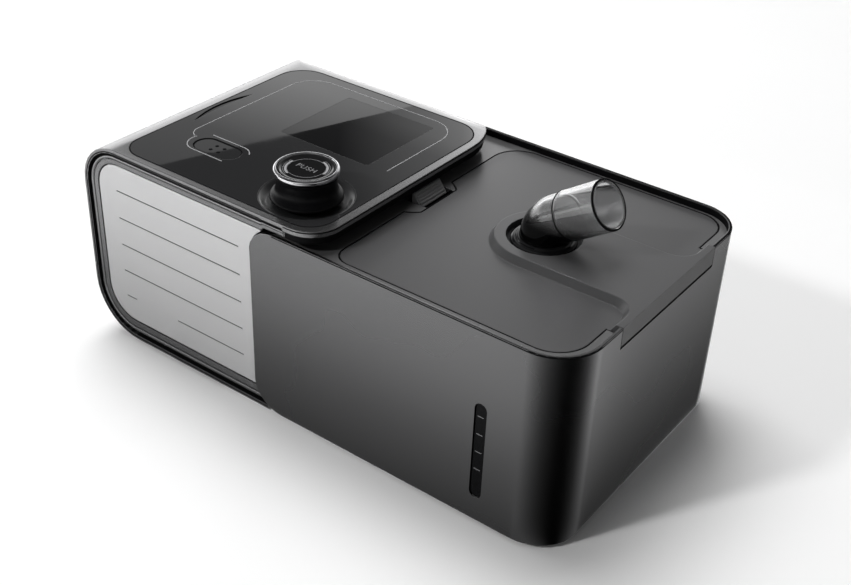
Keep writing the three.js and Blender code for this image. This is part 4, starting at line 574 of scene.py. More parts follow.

# %% [markdown]
# The elbow and the tank are clear plastic, slightly smoked. Real walls are modelled, so the light bends
# twice on its way through them. Clear plastic keeps a plain metallic and transmission value, which any
# renderer understands. The elbow's colour is painted darker towards its foot: painted shade, for the dark
# seat that shows through the wall there.

# %% Clear smoked plastic
def clear(name, colour, roughness, transmission, ior):
    material, tree, shader = shader_material(name, colour, roughness)
    shader.inputs["Transmission Weight"].default_value = transmission
    shader.inputs["IOR"].default_value = ior
    smeared(tree, shader, roughness, smears=0.15, bump=0.02, distance=0.0002)
    return material, tree, shader


SMOKE, SMOKE_PAINTED_SHADE = (0.78, 0.782, 0.786), (0.012, 0.012, 0.013)
PAINTED_SHADE_LOW, PAINTED_SHADE_HIGH = 0.1040, 0.1125
clear_smoke, smoke_tree, smoke_shader = clear("clear_smoke", SMOKE, 0.02, 0.90, ior=1.58)
smoke_height = axis_of(smoke_tree, own_place(smoke_tree), "Z")
# Painted shade: the colour runs from near black at the foot up to the smoke tint
painted_shade_fade = mapped(smoke_tree, smoke_height, PAINTED_SHADE_LOW, PAINTED_SHADE_HIGH, interpolation="SMOOTHSTEP")
smoke_with_painted_shade = mixed(smoke_tree, "MIX", painted_shade_fade, (*SMOKE_PAINTED_SHADE, 1), (*SMOKE, 1))
smoke_tree.links.new(smoke_with_painted_shade, smoke_shader.inputs["Base Color"])
tank_clear = clear("tank_clear", (0.55, 0.57, 0.60), 0.06, 0.85, ior=1.46)[0]
print("clear finishes ready")

# %% [markdown]
# Foam and filter fleece hardly shine at all. Their look is in the cells and fibres, so a cell texture gives
# the foam its pits, and a fine noise gives the fleece its fibres.

# %% Foam and fleece
foam_grey, foam_tree, foam_shader = shader_material("open_cell_foam", (0.06, 0.065, 0.07), 1.0, specular=0.1)
foam_cells = foam_tree.nodes.new("ShaderNodeTexVoronoi")
foam_cells.inputs["Scale"].default_value = 700.0
foam_tree.links.new(own_place(foam_tree), foam_cells.inputs["Vector"])
tinted(foam_tree, foam_shader, (0.10, 0.105, 0.11), foam_cells.outputs["Distance"])
bumped(foam_tree, foam_shader, foam_cells.outputs["Distance"], 0.8, 0.0004)

FLEECE = (0.75, 0.75, 0.72)
fleece, fleece_tree, fleece_shader = shader_material("filter_fleece", FLEECE, 1.0, specular=0.1)
fibres = noise(fleece_tree, own_place(fleece_tree), 1800.0, detail=6.0)
fibre_tone = math_node(fleece_tree, "ADD", math_node(fleece_tree, "MULTIPLY", fibres, 0.4), 0.7)
tinted(fleece_tree, fleece_shader, FLEECE, fibre_tone)
bumped(fleece_tree, fleece_shader, fibres, 0.6, 0.0003)
print("foam and fleece ready")

# %% [markdown]
# ## From CAD solids to moulded parts
#
# A CAD solid has perfectly sharp edges, and nothing made in a mould has. A bevel modifier could round them,
# but these meshes are made of thin triangles, which a modifier would bevel too. So each solid is copied,
# its flat faces are joined back together, and only the edges that really turn a corner are rounded by a
# fraction of a millimetre. Curved walls are then shaded smooth, and weighted normals keep the flat faces
# flat.

# %% Helpers for pieces
def dress(piece, body, slot, material, *nodes):
    piece.data.materials.clear()
    piece.data.materials.append(material)
    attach(piece, body)
    if nodes:
        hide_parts(*nodes)


def shade(piece, sharp_angle=32.0):
    for face in piece.data.polygons:
        face.use_smooth = True
    piece.data.set_sharp_from_angle(angle=math.radians(sharp_angle))
    weighted = piece.modifiers.new("weighted_normals", "WEIGHTED_NORMAL")
    weighted.keep_sharp = True
    weighted.weight = 50
    return piece


def object_from(name, bm):
    mesh = bpy.data.meshes.new(name)
    bm.to_mesh(mesh)
    bm.free()
    return in_scene(name, mesh)


def closed_piece(name, bm, sharp_angle=32.0):
    bmesh.ops.recalc_face_normals(bm, faces=bm.faces)
    return shade(object_from(name, bm), sharp_angle)


def weld(bm, distance=1e-7):
    bmesh.ops.remove_doubles(bm, verts=bm.verts, dist=distance)


def round_edges(bm, width, corner_angle=35.0):
    corners = [
        edge for edge in bm.edges
        if len(edge.link_faces) == 2 and edge.calc_face_angle(0) > math.radians(corner_angle)
    ]
    bmesh.ops.bevel(
        bm, geom=corners, offset=width, offset_type="OFFSET", segments=2, profile=0.7, affect="EDGES",
        clamp_overlap=False,
    )


SAME_CORNER, FLAT_WITHIN = 1e-6, 0.5


def softened(node, width):
    bm = bmesh.new()
    bm.from_mesh(frame["nodes"][node].data)
    weld(bm, SAME_CORNER)
    bmesh.ops.dissolve_limit(bm, angle_limit=math.radians(FLAT_WITHIN), verts=bm.verts, edges=bm.edges)
    round_edges(bm, width)
    return shade(object_from(node + "_moulded", bm))


print("helpers ready")

# %% [markdown]
# The table says, for each solid, which body it moves with, what it is made of and how far its edges are
# rounded. Big covers have an edge of four tenths of a millimetre, small parts about half of that, and the
# seams between covers show as fine dark lines because the gaps between the solids are real.

# %% Covers, doors and small mouldings
bodies = frame["record"]["behaviour"]["bodies"]
body_of = {node: body for body, members in bodies.items() for node in members}
slot_of = {part["node"]: part["material_slot"] for part in frame["record"]["subparts"]}
mouldings = [
    (satin_case, 0.0004, ["upper_shell", "lower_shell"]),
    (shell_finish, 0.0004, ["humidifier_shell"]),
    (lid_satin, 0.0004, ["lid"]),
    (charcoal, 0.0003, ["rear_panel", "filter_door", "humidifier_base"]),
    (catch_satin, 0.00012, ["catch_lever"]),
    (silver_panel, 0.00012, ["front_panel"]),
    (gloss_plate, 0.00015, ["top_fascia"]),
    (rubber, 0.0004, [
        "blower_foot_front", "blower_foot_back", "humidifier_foot_front", "humidifier_foot_back",
    ]),
    (matt_black, 0.0002, [
        "dock_plate", "dock_socket", "dock_plug", "power_inlet", "outlet_collar", "memory_card",
    ]),
    (rubber, 0.0003, ["nozzle_gasket", "lid_seal"]),
    (inner_plastic, 0.0003, ["outlet_duct", "inlet_tube"]),
    (tank_clear, 0.0004, ["water_tank"]),
]
for material, width, nodes in mouldings:
    for node in nodes:
        dress(softened(node, width), body_of[node], slot_of[node], material, node)
print("softened parts:", sum(len(nodes) for _, _, nodes in mouldings))

# %% [markdown]
# The parts inside and the screws underneath stay as the CAD has them, because nobody looks at their edges.
# They still get a proper finish, since some show when the humidifier is pulled away or a door is open.

# %% Finishes for the parts that stay as they are
inside = {
    inner_plastic: [
        "display_module", "encoder_body", "volute_lower", "volute_upper", "heater_pad", "impeller",
    ],
    matt_black: ["mode_switch"],
    board_green: ["control_board"],
    rubber: ["fan_mount"],
    foam_grey: ["silencer_foam"],
    fleece: ["air_filter"],
    steel: [
        "case_screw_front_left", "case_screw_front_right", "case_screw_back_left", "case_screw_back_right",
        "motor_can", "filter_door_pin", "card_reader", "encoder_shaft", "rotor_shaft", "hinge_pin",
        "catch_pin", "heater_plate", "power_pin",
    ],
}
for material, nodes in inside.items():
    for node in nodes:
        for socket in frame["nodes"][node].material_slots:
            socket.material = material
print("refinished parts:", sum(len(nodes) for nodes in inside.values()))

# %% [markdown]
# ## Turned pieces
#
# The knob, the dish round it and the cuff at the elbow's foot are round. A lathe makes them: a profile of
# radius and height is turned about an upright axis. Each corner of the profile carries its own rounding,
# drawn as a small curve, so the highlights run softly over the edges as they do on the real parts.

# %% A lathe and a corner rounder
def rounded_profile(corners, steps=4):
    """Corners are (radius, height, rounding). Each becomes a short curve between its two sides."""
    profile = []
    total = len(corners)
    for i, (r, z, rounding) in enumerate(corners):
        here = Vector((r, z))
        before = Vector(corners[i - 1][:2]) - here
        after = Vector(corners[(i + 1) % total][:2]) - here
        reach = min(rounding, before.length * 0.45, after.length * 0.45)
        if reach <= 0:
            profile.append((r, z))
            continue
        start, end = here + before.normalized() * reach, here + after.normalized() * reach
        for k in range(steps + 1):
            t = k / steps
            point = start * (1 - t) ** 2 + here * 2 * t * (1 - t) + end * t ** 2
            profile.append((point.x, point.y))
    return profile


def turned(name, centre_x, centre_y, profile, sharp_angle=50.0, steps=96):
    bm = bmesh.new()
    rings = []
    for k in range(steps):
        angle = 2 * math.pi * k / steps
        rings.append([
            bm.verts.new(at(centre_x + r * math.cos(angle), centre_y + r * math.sin(angle), z))
            for r, z in profile
        ])
    count = len(profile)
    for k in range(steps):
        here, following = rings[k], rings[(k + 1) % steps]
        for i in range(count):
            j = (i + 1) % count
            if profile[i][0] < 1e-6 and profile[j][0] < 1e-6:
                continue
            bm.faces.new((here[i], following[i], following[j], here[j]))
    weld(bm)
    return closed_piece(name, bm, sharp_angle)


print("lathe ready")

# %% [markdown]
# ### The knob
#
# The knob is a black body with a narrow waist and a flared foot, standing in a shallow dish. A polished
# ring caps it, with a dark disc inside, two bright arcs and a word that says what to do with it. Grip, ring
# and disc are turned separately, because they are separate parts with different finishes.

# %% Knob body, ring and disc
KNOB_X, KNOB_Y = 115.5, -46.8
CASE_TOP = 102.0
KNOB_TOP = CASE_TOP + 14.0
DISC_SURFACE = KNOB_TOP - 0.9
DISH_FLOOR = CASE_TOP - 2.4
KNOB_BASE = DISH_FLOOR + 1.6


def knob_piece(name, corners, sharp_angle=50.0):
    return turned(name, KNOB_X, KNOB_Y, rounded_profile(corners), sharp_angle=sharp_angle)


dress(knob_piece("knob_body", [
    (0.0, KNOB_BASE + 8.0, 0), (3.3, KNOB_BASE + 8.0, 0), (3.3, KNOB_BASE, 0), (14.8, KNOB_BASE, 0.3),
    (16.2, KNOB_BASE + 0.9, 0.8), (15.7, KNOB_BASE + 2.3, 1.2), (13.7, KNOB_BASE + 4.0, 1.4),
    (13.1, KNOB_BASE + 6.4, 2.0), (13.4, KNOB_TOP - 4.4, 1.0), (13.9, KNOB_TOP - 2.9, 0.3),
    (12.4, KNOB_TOP - 2.9, 0.0), (12.4, KNOB_TOP - 1.6, 0.0), (0.0, KNOB_TOP - 1.6, 0),
]), "knob", "matt_black", knob_black, "knob_grip")
dress(knob_piece("knob_bright_ring", [
    (12.72, KNOB_TOP - 2.6, 0.1), (14.0, KNOB_TOP - 2.6, 0.5), (14.3, KNOB_TOP - 1.7, 0.6),
    (14.15, KNOB_TOP - 0.5, 0.6), (13.5, KNOB_TOP, 0.4), (12.95, KNOB_TOP, 0.2), (12.7, KNOB_TOP - 0.5, 0.2),
], 80.0), "knob", "bright_metal", bright_metal, "knob_ring")
dress(knob_piece("knob_disc", [
    (0.0, KNOB_TOP - 1.5, 0), (12.4, KNOB_TOP - 1.5, 0), (12.4, KNOB_TOP - 0.45, 0.15),
    (11.6, KNOB_TOP - 0.4, 0.3), (10.8, DISC_SURFACE, 0.5), (0.0, DISC_SURFACE, 0),
]), "knob", "gloss_black", gloss_black, "knob_cap")
print("knob stands", KNOB_TOP - CASE_TOP, "mm over the plate")

# %% Dish round the knob
DISH_OUTER, DISH_INNER, DISH_LIP, SLOPE_STEPS = 21.2, 16.9, 0.03, 24
slope = []
for k in range(SLOPE_STEPS + 1):
    t = k / SLOPE_STEPS
    fall = 0.5 - 0.5 * math.cos(math.pi * t)
    radius = DISH_OUTER + (DISH_INNER - DISH_OUTER) * t
    slope.append((radius, CASE_TOP + DISH_LIP + (DISH_FLOOR - CASE_TOP - DISH_LIP) * fall))
dish_profile = [
    (4.5, DISH_FLOOR - 1.6), (20.4, DISH_FLOOR - 1.6), (20.4, CASE_TOP - 0.2), (DISH_OUTER, CASE_TOP - 0.01),
] + slope + [(4.5, DISH_FLOOR)]
dish = turned("knob_dish", KNOB_X, KNOB_Y, dish_profile, sharp_angle=60.0)
dress(dish, "case", "gloss_black", dish_satin, "knob_bezel")
print("dish slopes over", round(DISH_OUTER - DISH_INNER, 2), "mm")

# %% [markdown]
# ### Printed lines
#
# Thin light lines on the black plate and on the knob are printed. A line is made as a flat ribbon, a few
# hundredths of a millimetre thick, that follows a path at a constant width. As real geometry it stays sharp
# at any distance and moves with its part.

# %% Ribbons that follow a path
def arc_path(cx, cy, radius, start, end, steps=16):
    return [
        (cx + radius * math.cos(math.radians(start + (end - start) * k / steps)),
         cy + radius * math.sin(math.radians(start + (end - start) * k / steps)))
        for k in range(steps + 1)
    ]


def ribbon(bm, path, width, z0, z1, closed=False):
    count = len(path)
    rows = []
    for i, (x, y) in enumerate(path):
        before = path[i - 1] if closed or i > 0 else path[i]
        after = path[(i + 1) % count] if closed or i < count - 1 else path[i]
        along = Vector((after[0] - before[0], after[1] - before[1])).normalized()
        across = Vector((-along.y, along.x)) * width / 2
        left = (x + across.x, y + across.y)
        right = (x - across.x, y - across.y)
        rows.append([bm.verts.new(at(*side, z)) for side in (left, right) for z in (z0, z1)])
    last = count if closed else count - 1
    for i in range(last):
        a, b = rows[i], rows[(i + 1) % count]
        for p, q in ((0, 1), (1, 3), (3, 2), (2, 0)):
            bm.faces.new((a[p], a[q], b[q], b[p]))
    if not closed:
        bm.faces.new((rows[0][0], rows[0][2], rows[0][3], rows[0][1]))
        bm.faces.new((rows[-1][1], rows[-1][3], rows[-1][2], rows[-1][0]))


INK_THICKNESS = 0.04


def printed(name, paths, width, z):
    bm = bmesh.new()
    for path, closed in paths:
        ribbon(bm, path, width, z, z + INK_THICKNESS, closed)
    return closed_piece(name, bm)


print("ribbons ready")

# %% Lines on the plate
INK_LIFT = 0.005
PRINT_Z = CASE_TOP + INK_LIFT
screen_contour = (
    arc_path(41.3, -31.0, 7.0, 250, 180) + arc_path(48.8, 34.0, 14.5, 180, 90)
    + arc_path(113.3, 34.0, 14.5, 90, 0) + [(127.8, -7.0)]
)
screen_line = printed("plate_contour_line", [(screen_contour, False)], 0.42, PRINT_Z)
dress(screen_line, "case", "gloss_black", ink_light)

mode_contours = [
    ([(44.8, -31.7)] + arc_path(64.2, -39.7, 8.0, 90, 0)[:-6], False),
    (arc_path(47.4, -39.9, 7.9, 160, 270) + [(66.0, -47.8)], False),
]
mode_lines = printed("mode_contour_line", mode_contours, 0.5, PRINT_Z)
dress(mode_lines, "case", "gloss_black", ink_light)
print("lines on the plate:", 1 + len(mode_contours))

# %% [markdown]
# The knob's disc has a thin ring, two bright arcs and the word PUSH. Blender's text object writes it: the
# letters are curves, given a little thickness and turned into a mesh so that they ride on the knob.

# %% Knob marks
DISC_Z = DISC_SURFACE + INK_LIFT


def arcs_on_knob(name, radius, width, spans):
    paths = [(arc_path(KNOB_X, KNOB_Y, radius, a, b, 40), abs(b - a) >= 360) for a, b in spans]
    paths = [(path[:-1] if closed else path, closed) for path, closed in paths]
    return printed(name, paths, width, DISC_Z)


ARC_SPANS = [(172, 250), (2, 78)]
LETTER_HALF = 0.02
dress(arcs_on_knob("knob_thin_ring", 8.3, 0.25, [(0, 360)]), "knob", "gloss_black", ink_faint)
dress(arcs_on_knob("knob_bright_arcs", 8.8, 1.2, ARC_SPANS), "knob", "bright_metal", ink_light)
dress(arcs_on_knob("knob_outer_arcs", 10.0, 0.25, ARC_SPANS), "knob", "gloss_black", ink_faint)


def lettering(name, words, size, place):
    text = bpy.data.curves.new(name, "FONT")
    text.body = words
    text.size = size
    text.align_x = "CENTER"
    text.align_y = "CENTER"
    text.extrude = LETTER_HALF
    text.space_character = 1.1
    holder = in_scene(name + "_outline", text)
    bpy.context.view_layer.update()
    mesh = bpy.data.meshes.new_from_object(holder.evaluated_get(bpy.context.evaluated_depsgraph_get()))
    bpy.data.objects.remove(holder)
    mesh.transform(Matrix.Translation(at(*place)) @ Matrix.Scale(MM, 4))
    mesh.name = name
    return shade(in_scene(name, mesh))


PUSH_PLACE = (KNOB_X, KNOB_Y, DISC_Z + LETTER_HALF)
dress(lettering("knob_word_push", "PUSH", 4.2, PUSH_PLACE), "knob", "gloss_black", ink_faint)
print("knob marks made")

# %% [markdown]
# ## Flat plates with rounded corners
#
# The mode button, the screen and the status light are flat plates cut to an outline. The outline is a ring
# of points with round corners, the plate is that ring drawn down, and its upper edge is rounded a little.

# %% Plates from an outline
def rounded_box(x0, y0, x1, y1, radius, steps=10):
    outline = []
    for cx, cy, start in (
        (x1 - radius, y0 + radius, 270), (x1 - radius, y1 - radius, 0),
        (x0 + radius, y1 - radius, 90), (x0 + radius, y0 + radius, 180),
    ):
        outline += arc_path(cx, cy, radius, start, start + 90, steps)
    return outline


def skin(bm, rings, closed=False):
    pairs = list(zip(rings, rings[1:]))
    if closed:
        pairs.append((rings[-1], rings[0]))
    for low, high in pairs:
        for i in range(len(low)):
            j = (i + 1) % len(low)
            bm.faces.new((low[i], low[j], high[j], high[i]))


def upright(x, z, depth):
    return at(x, depth, z)


def plate(name, outline, z0, z1, edge, place=at):
    bm = bmesh.new()
    lower = [bm.verts.new(place(x, y, z0)) for x, y in outline]
    upper = [bm.verts.new(place(x, y, z1)) for x, y in outline]
    bm.faces.new(list(reversed(lower)))
    bm.faces.new(upper)
    skin(bm, [lower, upper])
    weld(bm)
    bmesh.ops.recalc_face_normals(bm, faces=bm.faces)
    round_edges(bm, edge * MM, corner_angle=60.0)
    return shade(object_from(name, bm))


screen_outline = rounded_box(65.72, -8.78, 117.78, 41.28, 1.75)
screen = plate("screen_pane", screen_outline, CASE_TOP - 1.0, CASE_TOP, 0.02)
dress(screen, "case", "gloss_black", screen_glass, "display_lens")

MODE_X, MODE_Y, MODE_TOP = 56.0, -40.0, 101.7
button_outline = rounded_box(MODE_X - 12.75, MODE_Y - 6.6, MODE_X + 12.75, MODE_Y + 6.0, 6.2)
button = plate("mode_button_pad", button_outline, 97.7, MODE_TOP, 0.25)
dress(button, "mode", "gloss_black", gloss_plate)
print("plates:", screen.name, button.name)

# %% Dots and edge line of the mode button
def dome(bm, x, y, z, radius, rise, steps=20, levels=4):
    headings = [2 * math.pi * i / steps for i in range(steps)]
    rings = []
    for k in range(levels + 1):
        tilt = math.radians(90 * k / levels)
        r, h = radius * math.cos(tilt), rise * math.sin(tilt)
        rings.append([
            bm.verts.new(at(x + r * math.cos(angle), y + r * math.sin(angle), z + h)) for angle in headings
        ])
    skin(bm, rings)
    bm.faces.new(list(reversed(rings[0])))


DOT_Z, DOT_RADIUS, DOT_RISE = 101.68, 0.95, 0.25
dots = bmesh.new()
for dx, dy in ((2.3, 2.1), (2.3, -2.1), (-2.3, 2.1), (-2.3, -2.1)):
    dome(dots, MODE_X + dx, MODE_Y - 0.3 + dy, DOT_Z, DOT_RADIUS, DOT_RISE)
weld(dots)
dress(shade(object_from("mode_button_dots", dots)), "mode", "gloss_black", black_marks_and_painted_shade, "mode_button")
edge_outline = rounded_box(MODE_X - 12.5, MODE_Y - 6.35, MODE_X + 12.5, MODE_Y + 5.75, 5.95)
edge_line = printed("mode_button_edge", [(edge_outline, True)], 0.5, MODE_TOP + INK_LIFT)
dress(edge_line, "mode", "gloss_black", black_marks_and_painted_shade)
print("dots and edge line made")

# %% [markdown]
# The status light is a thin crescent beside the screen's contour. Its lens is dark while the machine is
# off, so it is polished black and sits a little below the plate.

# %% Status light
def crescent(x, y0, y1, sag, inner_sag, steps=24):
    half = (y1 - y0) / 2
    middle = (y0 + y1) / 2

    def bulge(depth):
        radius = (half * half + depth * depth) / (2 * depth)
        spread = math.degrees(math.asin(half / radius))
        return arc_path(x + radius - depth, middle, radius, 180 - spread, 180 + spread, steps)

    return bulge(sag) + list(reversed(bulge(inner_sag)))[1:-1]


light = plate("status_light_lens", crescent(27.0, -25.3, 11.1, 3.2, 0.9), 100.7, 101.5, 0.05)
dress(light, "case", "gloss_black", screen_glass, "status_lens")
print("status light made")

# %% [markdown]
# ## Front panel lines and the water window
#
# Five fine grooves cross the pale panel, and a dark strip lies in each.
# The water window is a dark pane with four short light marks, which show how full the tank is.

# %% Strips in the panel's grooves
def bar(bm, x0, x1, y0, y1, z0, z1):
    corners = [bm.verts.new(at(x, y, z)) for x in (x0, x1) for y in (y0, y1) for z in (z0, z1)]
    for a, b, c, d in ((0, 1, 3, 2), (4, 6, 7, 5), (0, 4, 5, 1), (2, 3, 7, 6), (0, 2, 6, 4), (1, 5, 7, 3)):
        bm.faces.new([corners[i] for i in (a, b, c, d)])


FACE_Y = -72.5
PANEL_FACE = FACE_Y + 1.6
GROOVES, GROOVE_TOP, GROOVE_PITCH = 5, 80.2, 14.4024
strips = bmesh.new()
for i in range(GROOVES):
    z = GROOVE_TOP - i * GROOVE_PITCH
    spans = [(19.8, 96.9)] if i < GROOVES - 1 else [(19.8, 26.3), (54.5, 96.9)]
    for x0, x1 in spans:
        bar(strips, x0 + 0.02, x1 - 0.02, PANEL_FACE + 0.22, PANEL_FACE + 0.52, z - 0.28, z + 0.28)
dress(closed_piece("panel_groove_strips", strips), "case", "matt_black", groove_dark)
print("grooves:", GROOVES)

# %% Water window with its marks
WINDOW_X, WINDOW_LOW, WINDOW_HIGH, WINDOW_FACE = 227.3, 11.7, 60.2, -71.8
window_outline = rounded_box(WINDOW_X - 2.6, WINDOW_LOW + 0.3, WINDOW_X + 2.6, WINDOW_HIGH - 0.3, 2.59)
window_pane = plate("level_window_pane", window_outline, WINDOW_FACE, WINDOW_FACE + 1.4, 0.15, upright)
dress(window_pane, "humidifier", "clear_smoke", window_dark, "level_window")

MARKS, MARK_PITCH = 4, 9.0
marks = bmesh.new()
for i in range(MARKS):
    z = WINDOW_LOW + 14.4 + i * MARK_PITCH
    bar(marks, WINDOW_X - 1.7, WINDOW_X + 1.3, WINDOW_FACE - 0.03, WINDOW_FACE + 0.02, z, z + 0.42)
dress(closed_piece("window_marks", marks), "humidifier", "panel_silver", ink_faint)
print("window marks:", MARKS)

# %% [markdown]
# ## Trims that follow an outline
#
# The front frame is one strip with several levels: a deep black channel, a bright bead, a fine dark line
# and a grey band. A cross-section carried along the outline makes such a strip in one go. Each point of the
# section is given as a distance inwards and a depth, and the distance is measured between an outer and an
# inner outline, because the strip is wider at the foot than at the sides.

# %% Carry a section along an outline
def carried(name, stations):
    """Stations are lists of points, one section after the other."""
    bm = bmesh.new()
    rows = [[bm.verts.new(point) for point in station] for station in stations]
    skin(bm, rows)
    bm.faces.new(rows[0])
    bm.faces.new(rows[-1])
    return closed_piece(name, bm, 40)


FRAME_EDGE, FRAME_WIDTH, FOOT_WIDTH, FOOT_TOP, BAR_FOOT = 2.5, 5.6, 7.2, 9.7, 95.3
UPPER_ROUND, LOWER_ROUND = 22.0, 26.0
TOE_X, TOE_Z, TOE_RADIUS = 120.25, 16.0, 16.5


def frame_outline(inset, foot, low_top):
    left, top = inset, CASE_TOP - inset
    upper, lower = UPPER_ROUND - inset, LOWER_ROUND - foot
    right_top = max(top, low_top)
    return (
        [(124.0, right_top), (112.3, right_top), (111.4, top)]
        + arc_path(left + upper, top - upper, upper, 90, 180, 18)
        + arc_path(left + lower, foot + lower, lower, 180, 270, 20)
        + [(104.0, foot)]
    )


def toe_end(z):
    return TOE_X - math.sqrt(TOE_RADIUS ** 2 - (TOE_Z - z) ** 2)


def frame_strip(name, section):
    outer = frame_outline(FRAME_EDGE, FRAME_EDGE, 0.0)
    inner = frame_outline(FRAME_EDGE + FRAME_WIDTH, FOOT_TOP, BAR_FOOT)
    stations = []
    for (ox, oz), (ix, iz) in zip(outer, inner):
        stations.append([
            at(ox + (ix - ox) * d / FRAME_WIDTH, FACE_Y + depth, oz + (iz - oz) * d / FRAME_WIDTH)
            for d, depth in section
        ])
    foot_heights = [FRAME_EDGE + FOOT_WIDTH * d / FRAME_WIDTH for d, _ in section]
    stations.append([at(toe_end(z), FACE_Y + depth, z) for z, (_, depth) in zip(foot_heights, section)])
    return carried(name, stations)


print("the frame strip is", FRAME_WIDTH, "mm wide")

# %% Front frame: black channel, then bead, line and band
channel = frame_strip("frame_black_channel", [
    (-1.2, -0.03), (-0.72, -0.03), (-0.4, 0.08), (-0.2, 0.35), (-0.2, 2.45), (1.05, 2.45), (1.05, 3.1),
    (-0.28, 3.1), (-0.28, 0.5), (-0.45, 0.2), (-0.75, 0.05), (-1.2, 0.01),
])
dress(channel, "case", "matt_black", black_marks_and_painted_shade)
frame_trim = frame_strip("frame_bead_and_band", [
    (1.15, 3.1), (1.15, 1.15), (1.25, 0.9), (1.45, 0.76), (1.75, 0.70), (2.1, 0.72), (2.4, 0.80),
    (2.62, 1.0), (2.70, 1.3), (2.72, 1.8), (2.98, 1.8), (3.0, 1.3), (3.1, 1.18), (5.0, 1.3), (5.22, 1.36),
    (5.3, 1.5), (5.3, 3.1),
])
dress(frame_trim, "case", "case_dark", frame_grey, "front_frame")
print("frame pieces:", channel.name, frame_trim.name)

# %% [markdown]
# The other trims follow the top outlines. The black seams round the lid and round the plate are ribbons,
# like the printed lines, and they are painted shade for the shadow in the gaps there. The dark rounded edge
# along the front of the rim is a painted reflection, and the black strips on the back rim, down its inner
# wall and on the side of the slab are painted shade. These, and a thin black line under the slab's top
# edge, are sections, each point given as a distance outwards and a height.

# %% Seams along the top outlines
LID_TOP, RIM_TOP, SEAM_LIFT = 91.1, 94.5, 0.01


def lid_seam_path(gap):
    near, far, left, right = -64.7 - gap, 69.1 + gap, 144.6 - gap, 258.7 + gap
    bay, middle = left + 5.9, 2.2
    return (
        [(264.0, 41.2 + gap), (right, 41.2 + gap)]
        + arc_path(right - 12.0 - gap, far - 12.0 - gap, 12.0 + gap, 0, 90)
        + arc_path(left + 14.0 + gap, far - 14.0 - gap, 14.0 + gap, 90, 180)
        + [(left, middle + 18.0 - gap), (left + 2.0, middle + 17.0 - gap), (bay - 2.0, middle + 15.5 - gap)]
        + [(bay, middle + 13.5 - gap), (bay, middle - 13.5 + gap), (bay - 2.0, middle - 15.5 + gap)]
        + [(left + 2.0, middle - 17.0 + gap), (left, middle - 18.0 + gap)]
        + arc_path(left + 8.0 + gap, near + 8.0 + gap, 8.0 + gap, 180, 270)
        + arc_path(right - 15.0 - gap, near + 15.0 + gap, 15.0 + gap, 270, 360)
        + [(right, -36.8 - gap), (264.0, -36.8 - gap)]
    )


# Painted shade: a black ribbon over the lid's gap stands in for the shadow in it
lid_seam_painted_shade = printed("lid_seam_painted_shade", [(lid_seam_path(0.36), False)], 0.6, LID_TOP + SEAM_LIFT)
dress(lid_seam_painted_shade, "humidifier", "rubber_dark", black_marks_and_painted_shade)

plate_seam_path = (
    arc_path(34.0, -56.6, 12.3, 180, 270) + arc_path(126.3, -56.6, 12.3, 270, 360)
    + arc_path(123.8, 40.0, 14.8, 0, 90) + arc_path(36.5, 40.0, 14.8, 90, 180)
)
# Painted shade: the same kind of black ribbon over the gap round the plate
plate_seam_painted_shade = printed("plate_seam_painted_shade", [(plate_seam_path, True)], 0.5, CASE_TOP + SEAM_LIFT)
dress(plate_seam_painted_shade, "case", "gloss_black", black_marks_and_painted_shade)
print("seams made")

# %% Edges of the rim and the slab
def beside(path, section):
    """Sections of (distance outwards, height) along an open path that runs anticlockwise."""
    stations = []
    for i, (x, y) in enumerate(path):
        before, after = path[max(i - 1, 0)], path[min(i + 1, len(path) - 1)]
        along = Vector((after[0] - before[0], after[1] - before[1])).normalized()
        stations.append([at(x + along.y * out, y - along.x * out, z) for out, z in section])
    return stations


front_edge = [(118.0, FACE_Y)] + arc_path(245.4, -51.9, 20.6, 270, 360, 24) + [(266.0, -37.3)]
back_edge = [(266.0, 41.7)] + arc_path(246.6, 53.1, 19.4, 0, 90, 24) + [(118.0, 72.5)]
slab_edge = (
    [(124.8, FACE_Y)] + arc_path(127.8, -57.5, 15.0, 270, 360, 18) + arc_path(108.8, 38.5, 34.0, 0, 40, 18)
)
edges = [
    # Painted reflection: a black section over the rim's rounded front edge
    ("rim_front_painted_reflection", front_edge, "humidifier", "case_charcoal", [
        (0.03, 93.70), (0.03, 94.12), (-0.10, 94.42), (-0.42, 94.53), (-0.42, 94.40), (-0.20, 94.25),
        (-0.06, 93.95), (-0.06, 93.70),
    ]),
    # Painted shade: black strips on the back rim and down its inner wall
    ("rim_back_painted_shade", back_edge, "humidifier", "rubber_dark", [
        (0.03, 93.9), (0.03, 94.2), (-0.15, 94.45), (-0.4, 94.53), (-1.1, 94.53), (-1.1, 94.46),
        (-0.4, 94.4), (-0.05, 93.9),
    ]),
    ("rim_back_wall_painted_shade", back_edge, "humidifier", "rubber_dark", [
        (-1.45, 93.9), (-1.66, 93.9), (-1.66, 91.13), (-1.45, 91.13),
    ]),
    ("slab_edge_line", slab_edge, "case", "matt_black", [
        (0.03, 100.95), (0.03, 101.5), (-0.06, 101.5), (-0.06, 100.95),
    ]),
    # Painted shade: a black band over the side of the slab
    ("slab_side_painted_shade", slab_edge, "case", "matt_black", [
        (-0.97, 95.65), (-0.97, 100.1), (-1.05, 100.1), (-1.05, 95.65),
    ]),
]
for name, path, body, slot, section in edges:
    dress(carried(name, beside(path, section)), body, slot, black_marks_and_painted_shade)
print("edges made:", len(edges))

# %% [markdown]
# ## The elbow
#
# Air leaves through a clear elbow that swivels in its seat. It is a tube swept along an upright line, a
# bend and a slanted line. Sweeping a ring of points, with the inside as a second ring, gives a true wall
# with thickness, and that is what makes clear plastic look right.

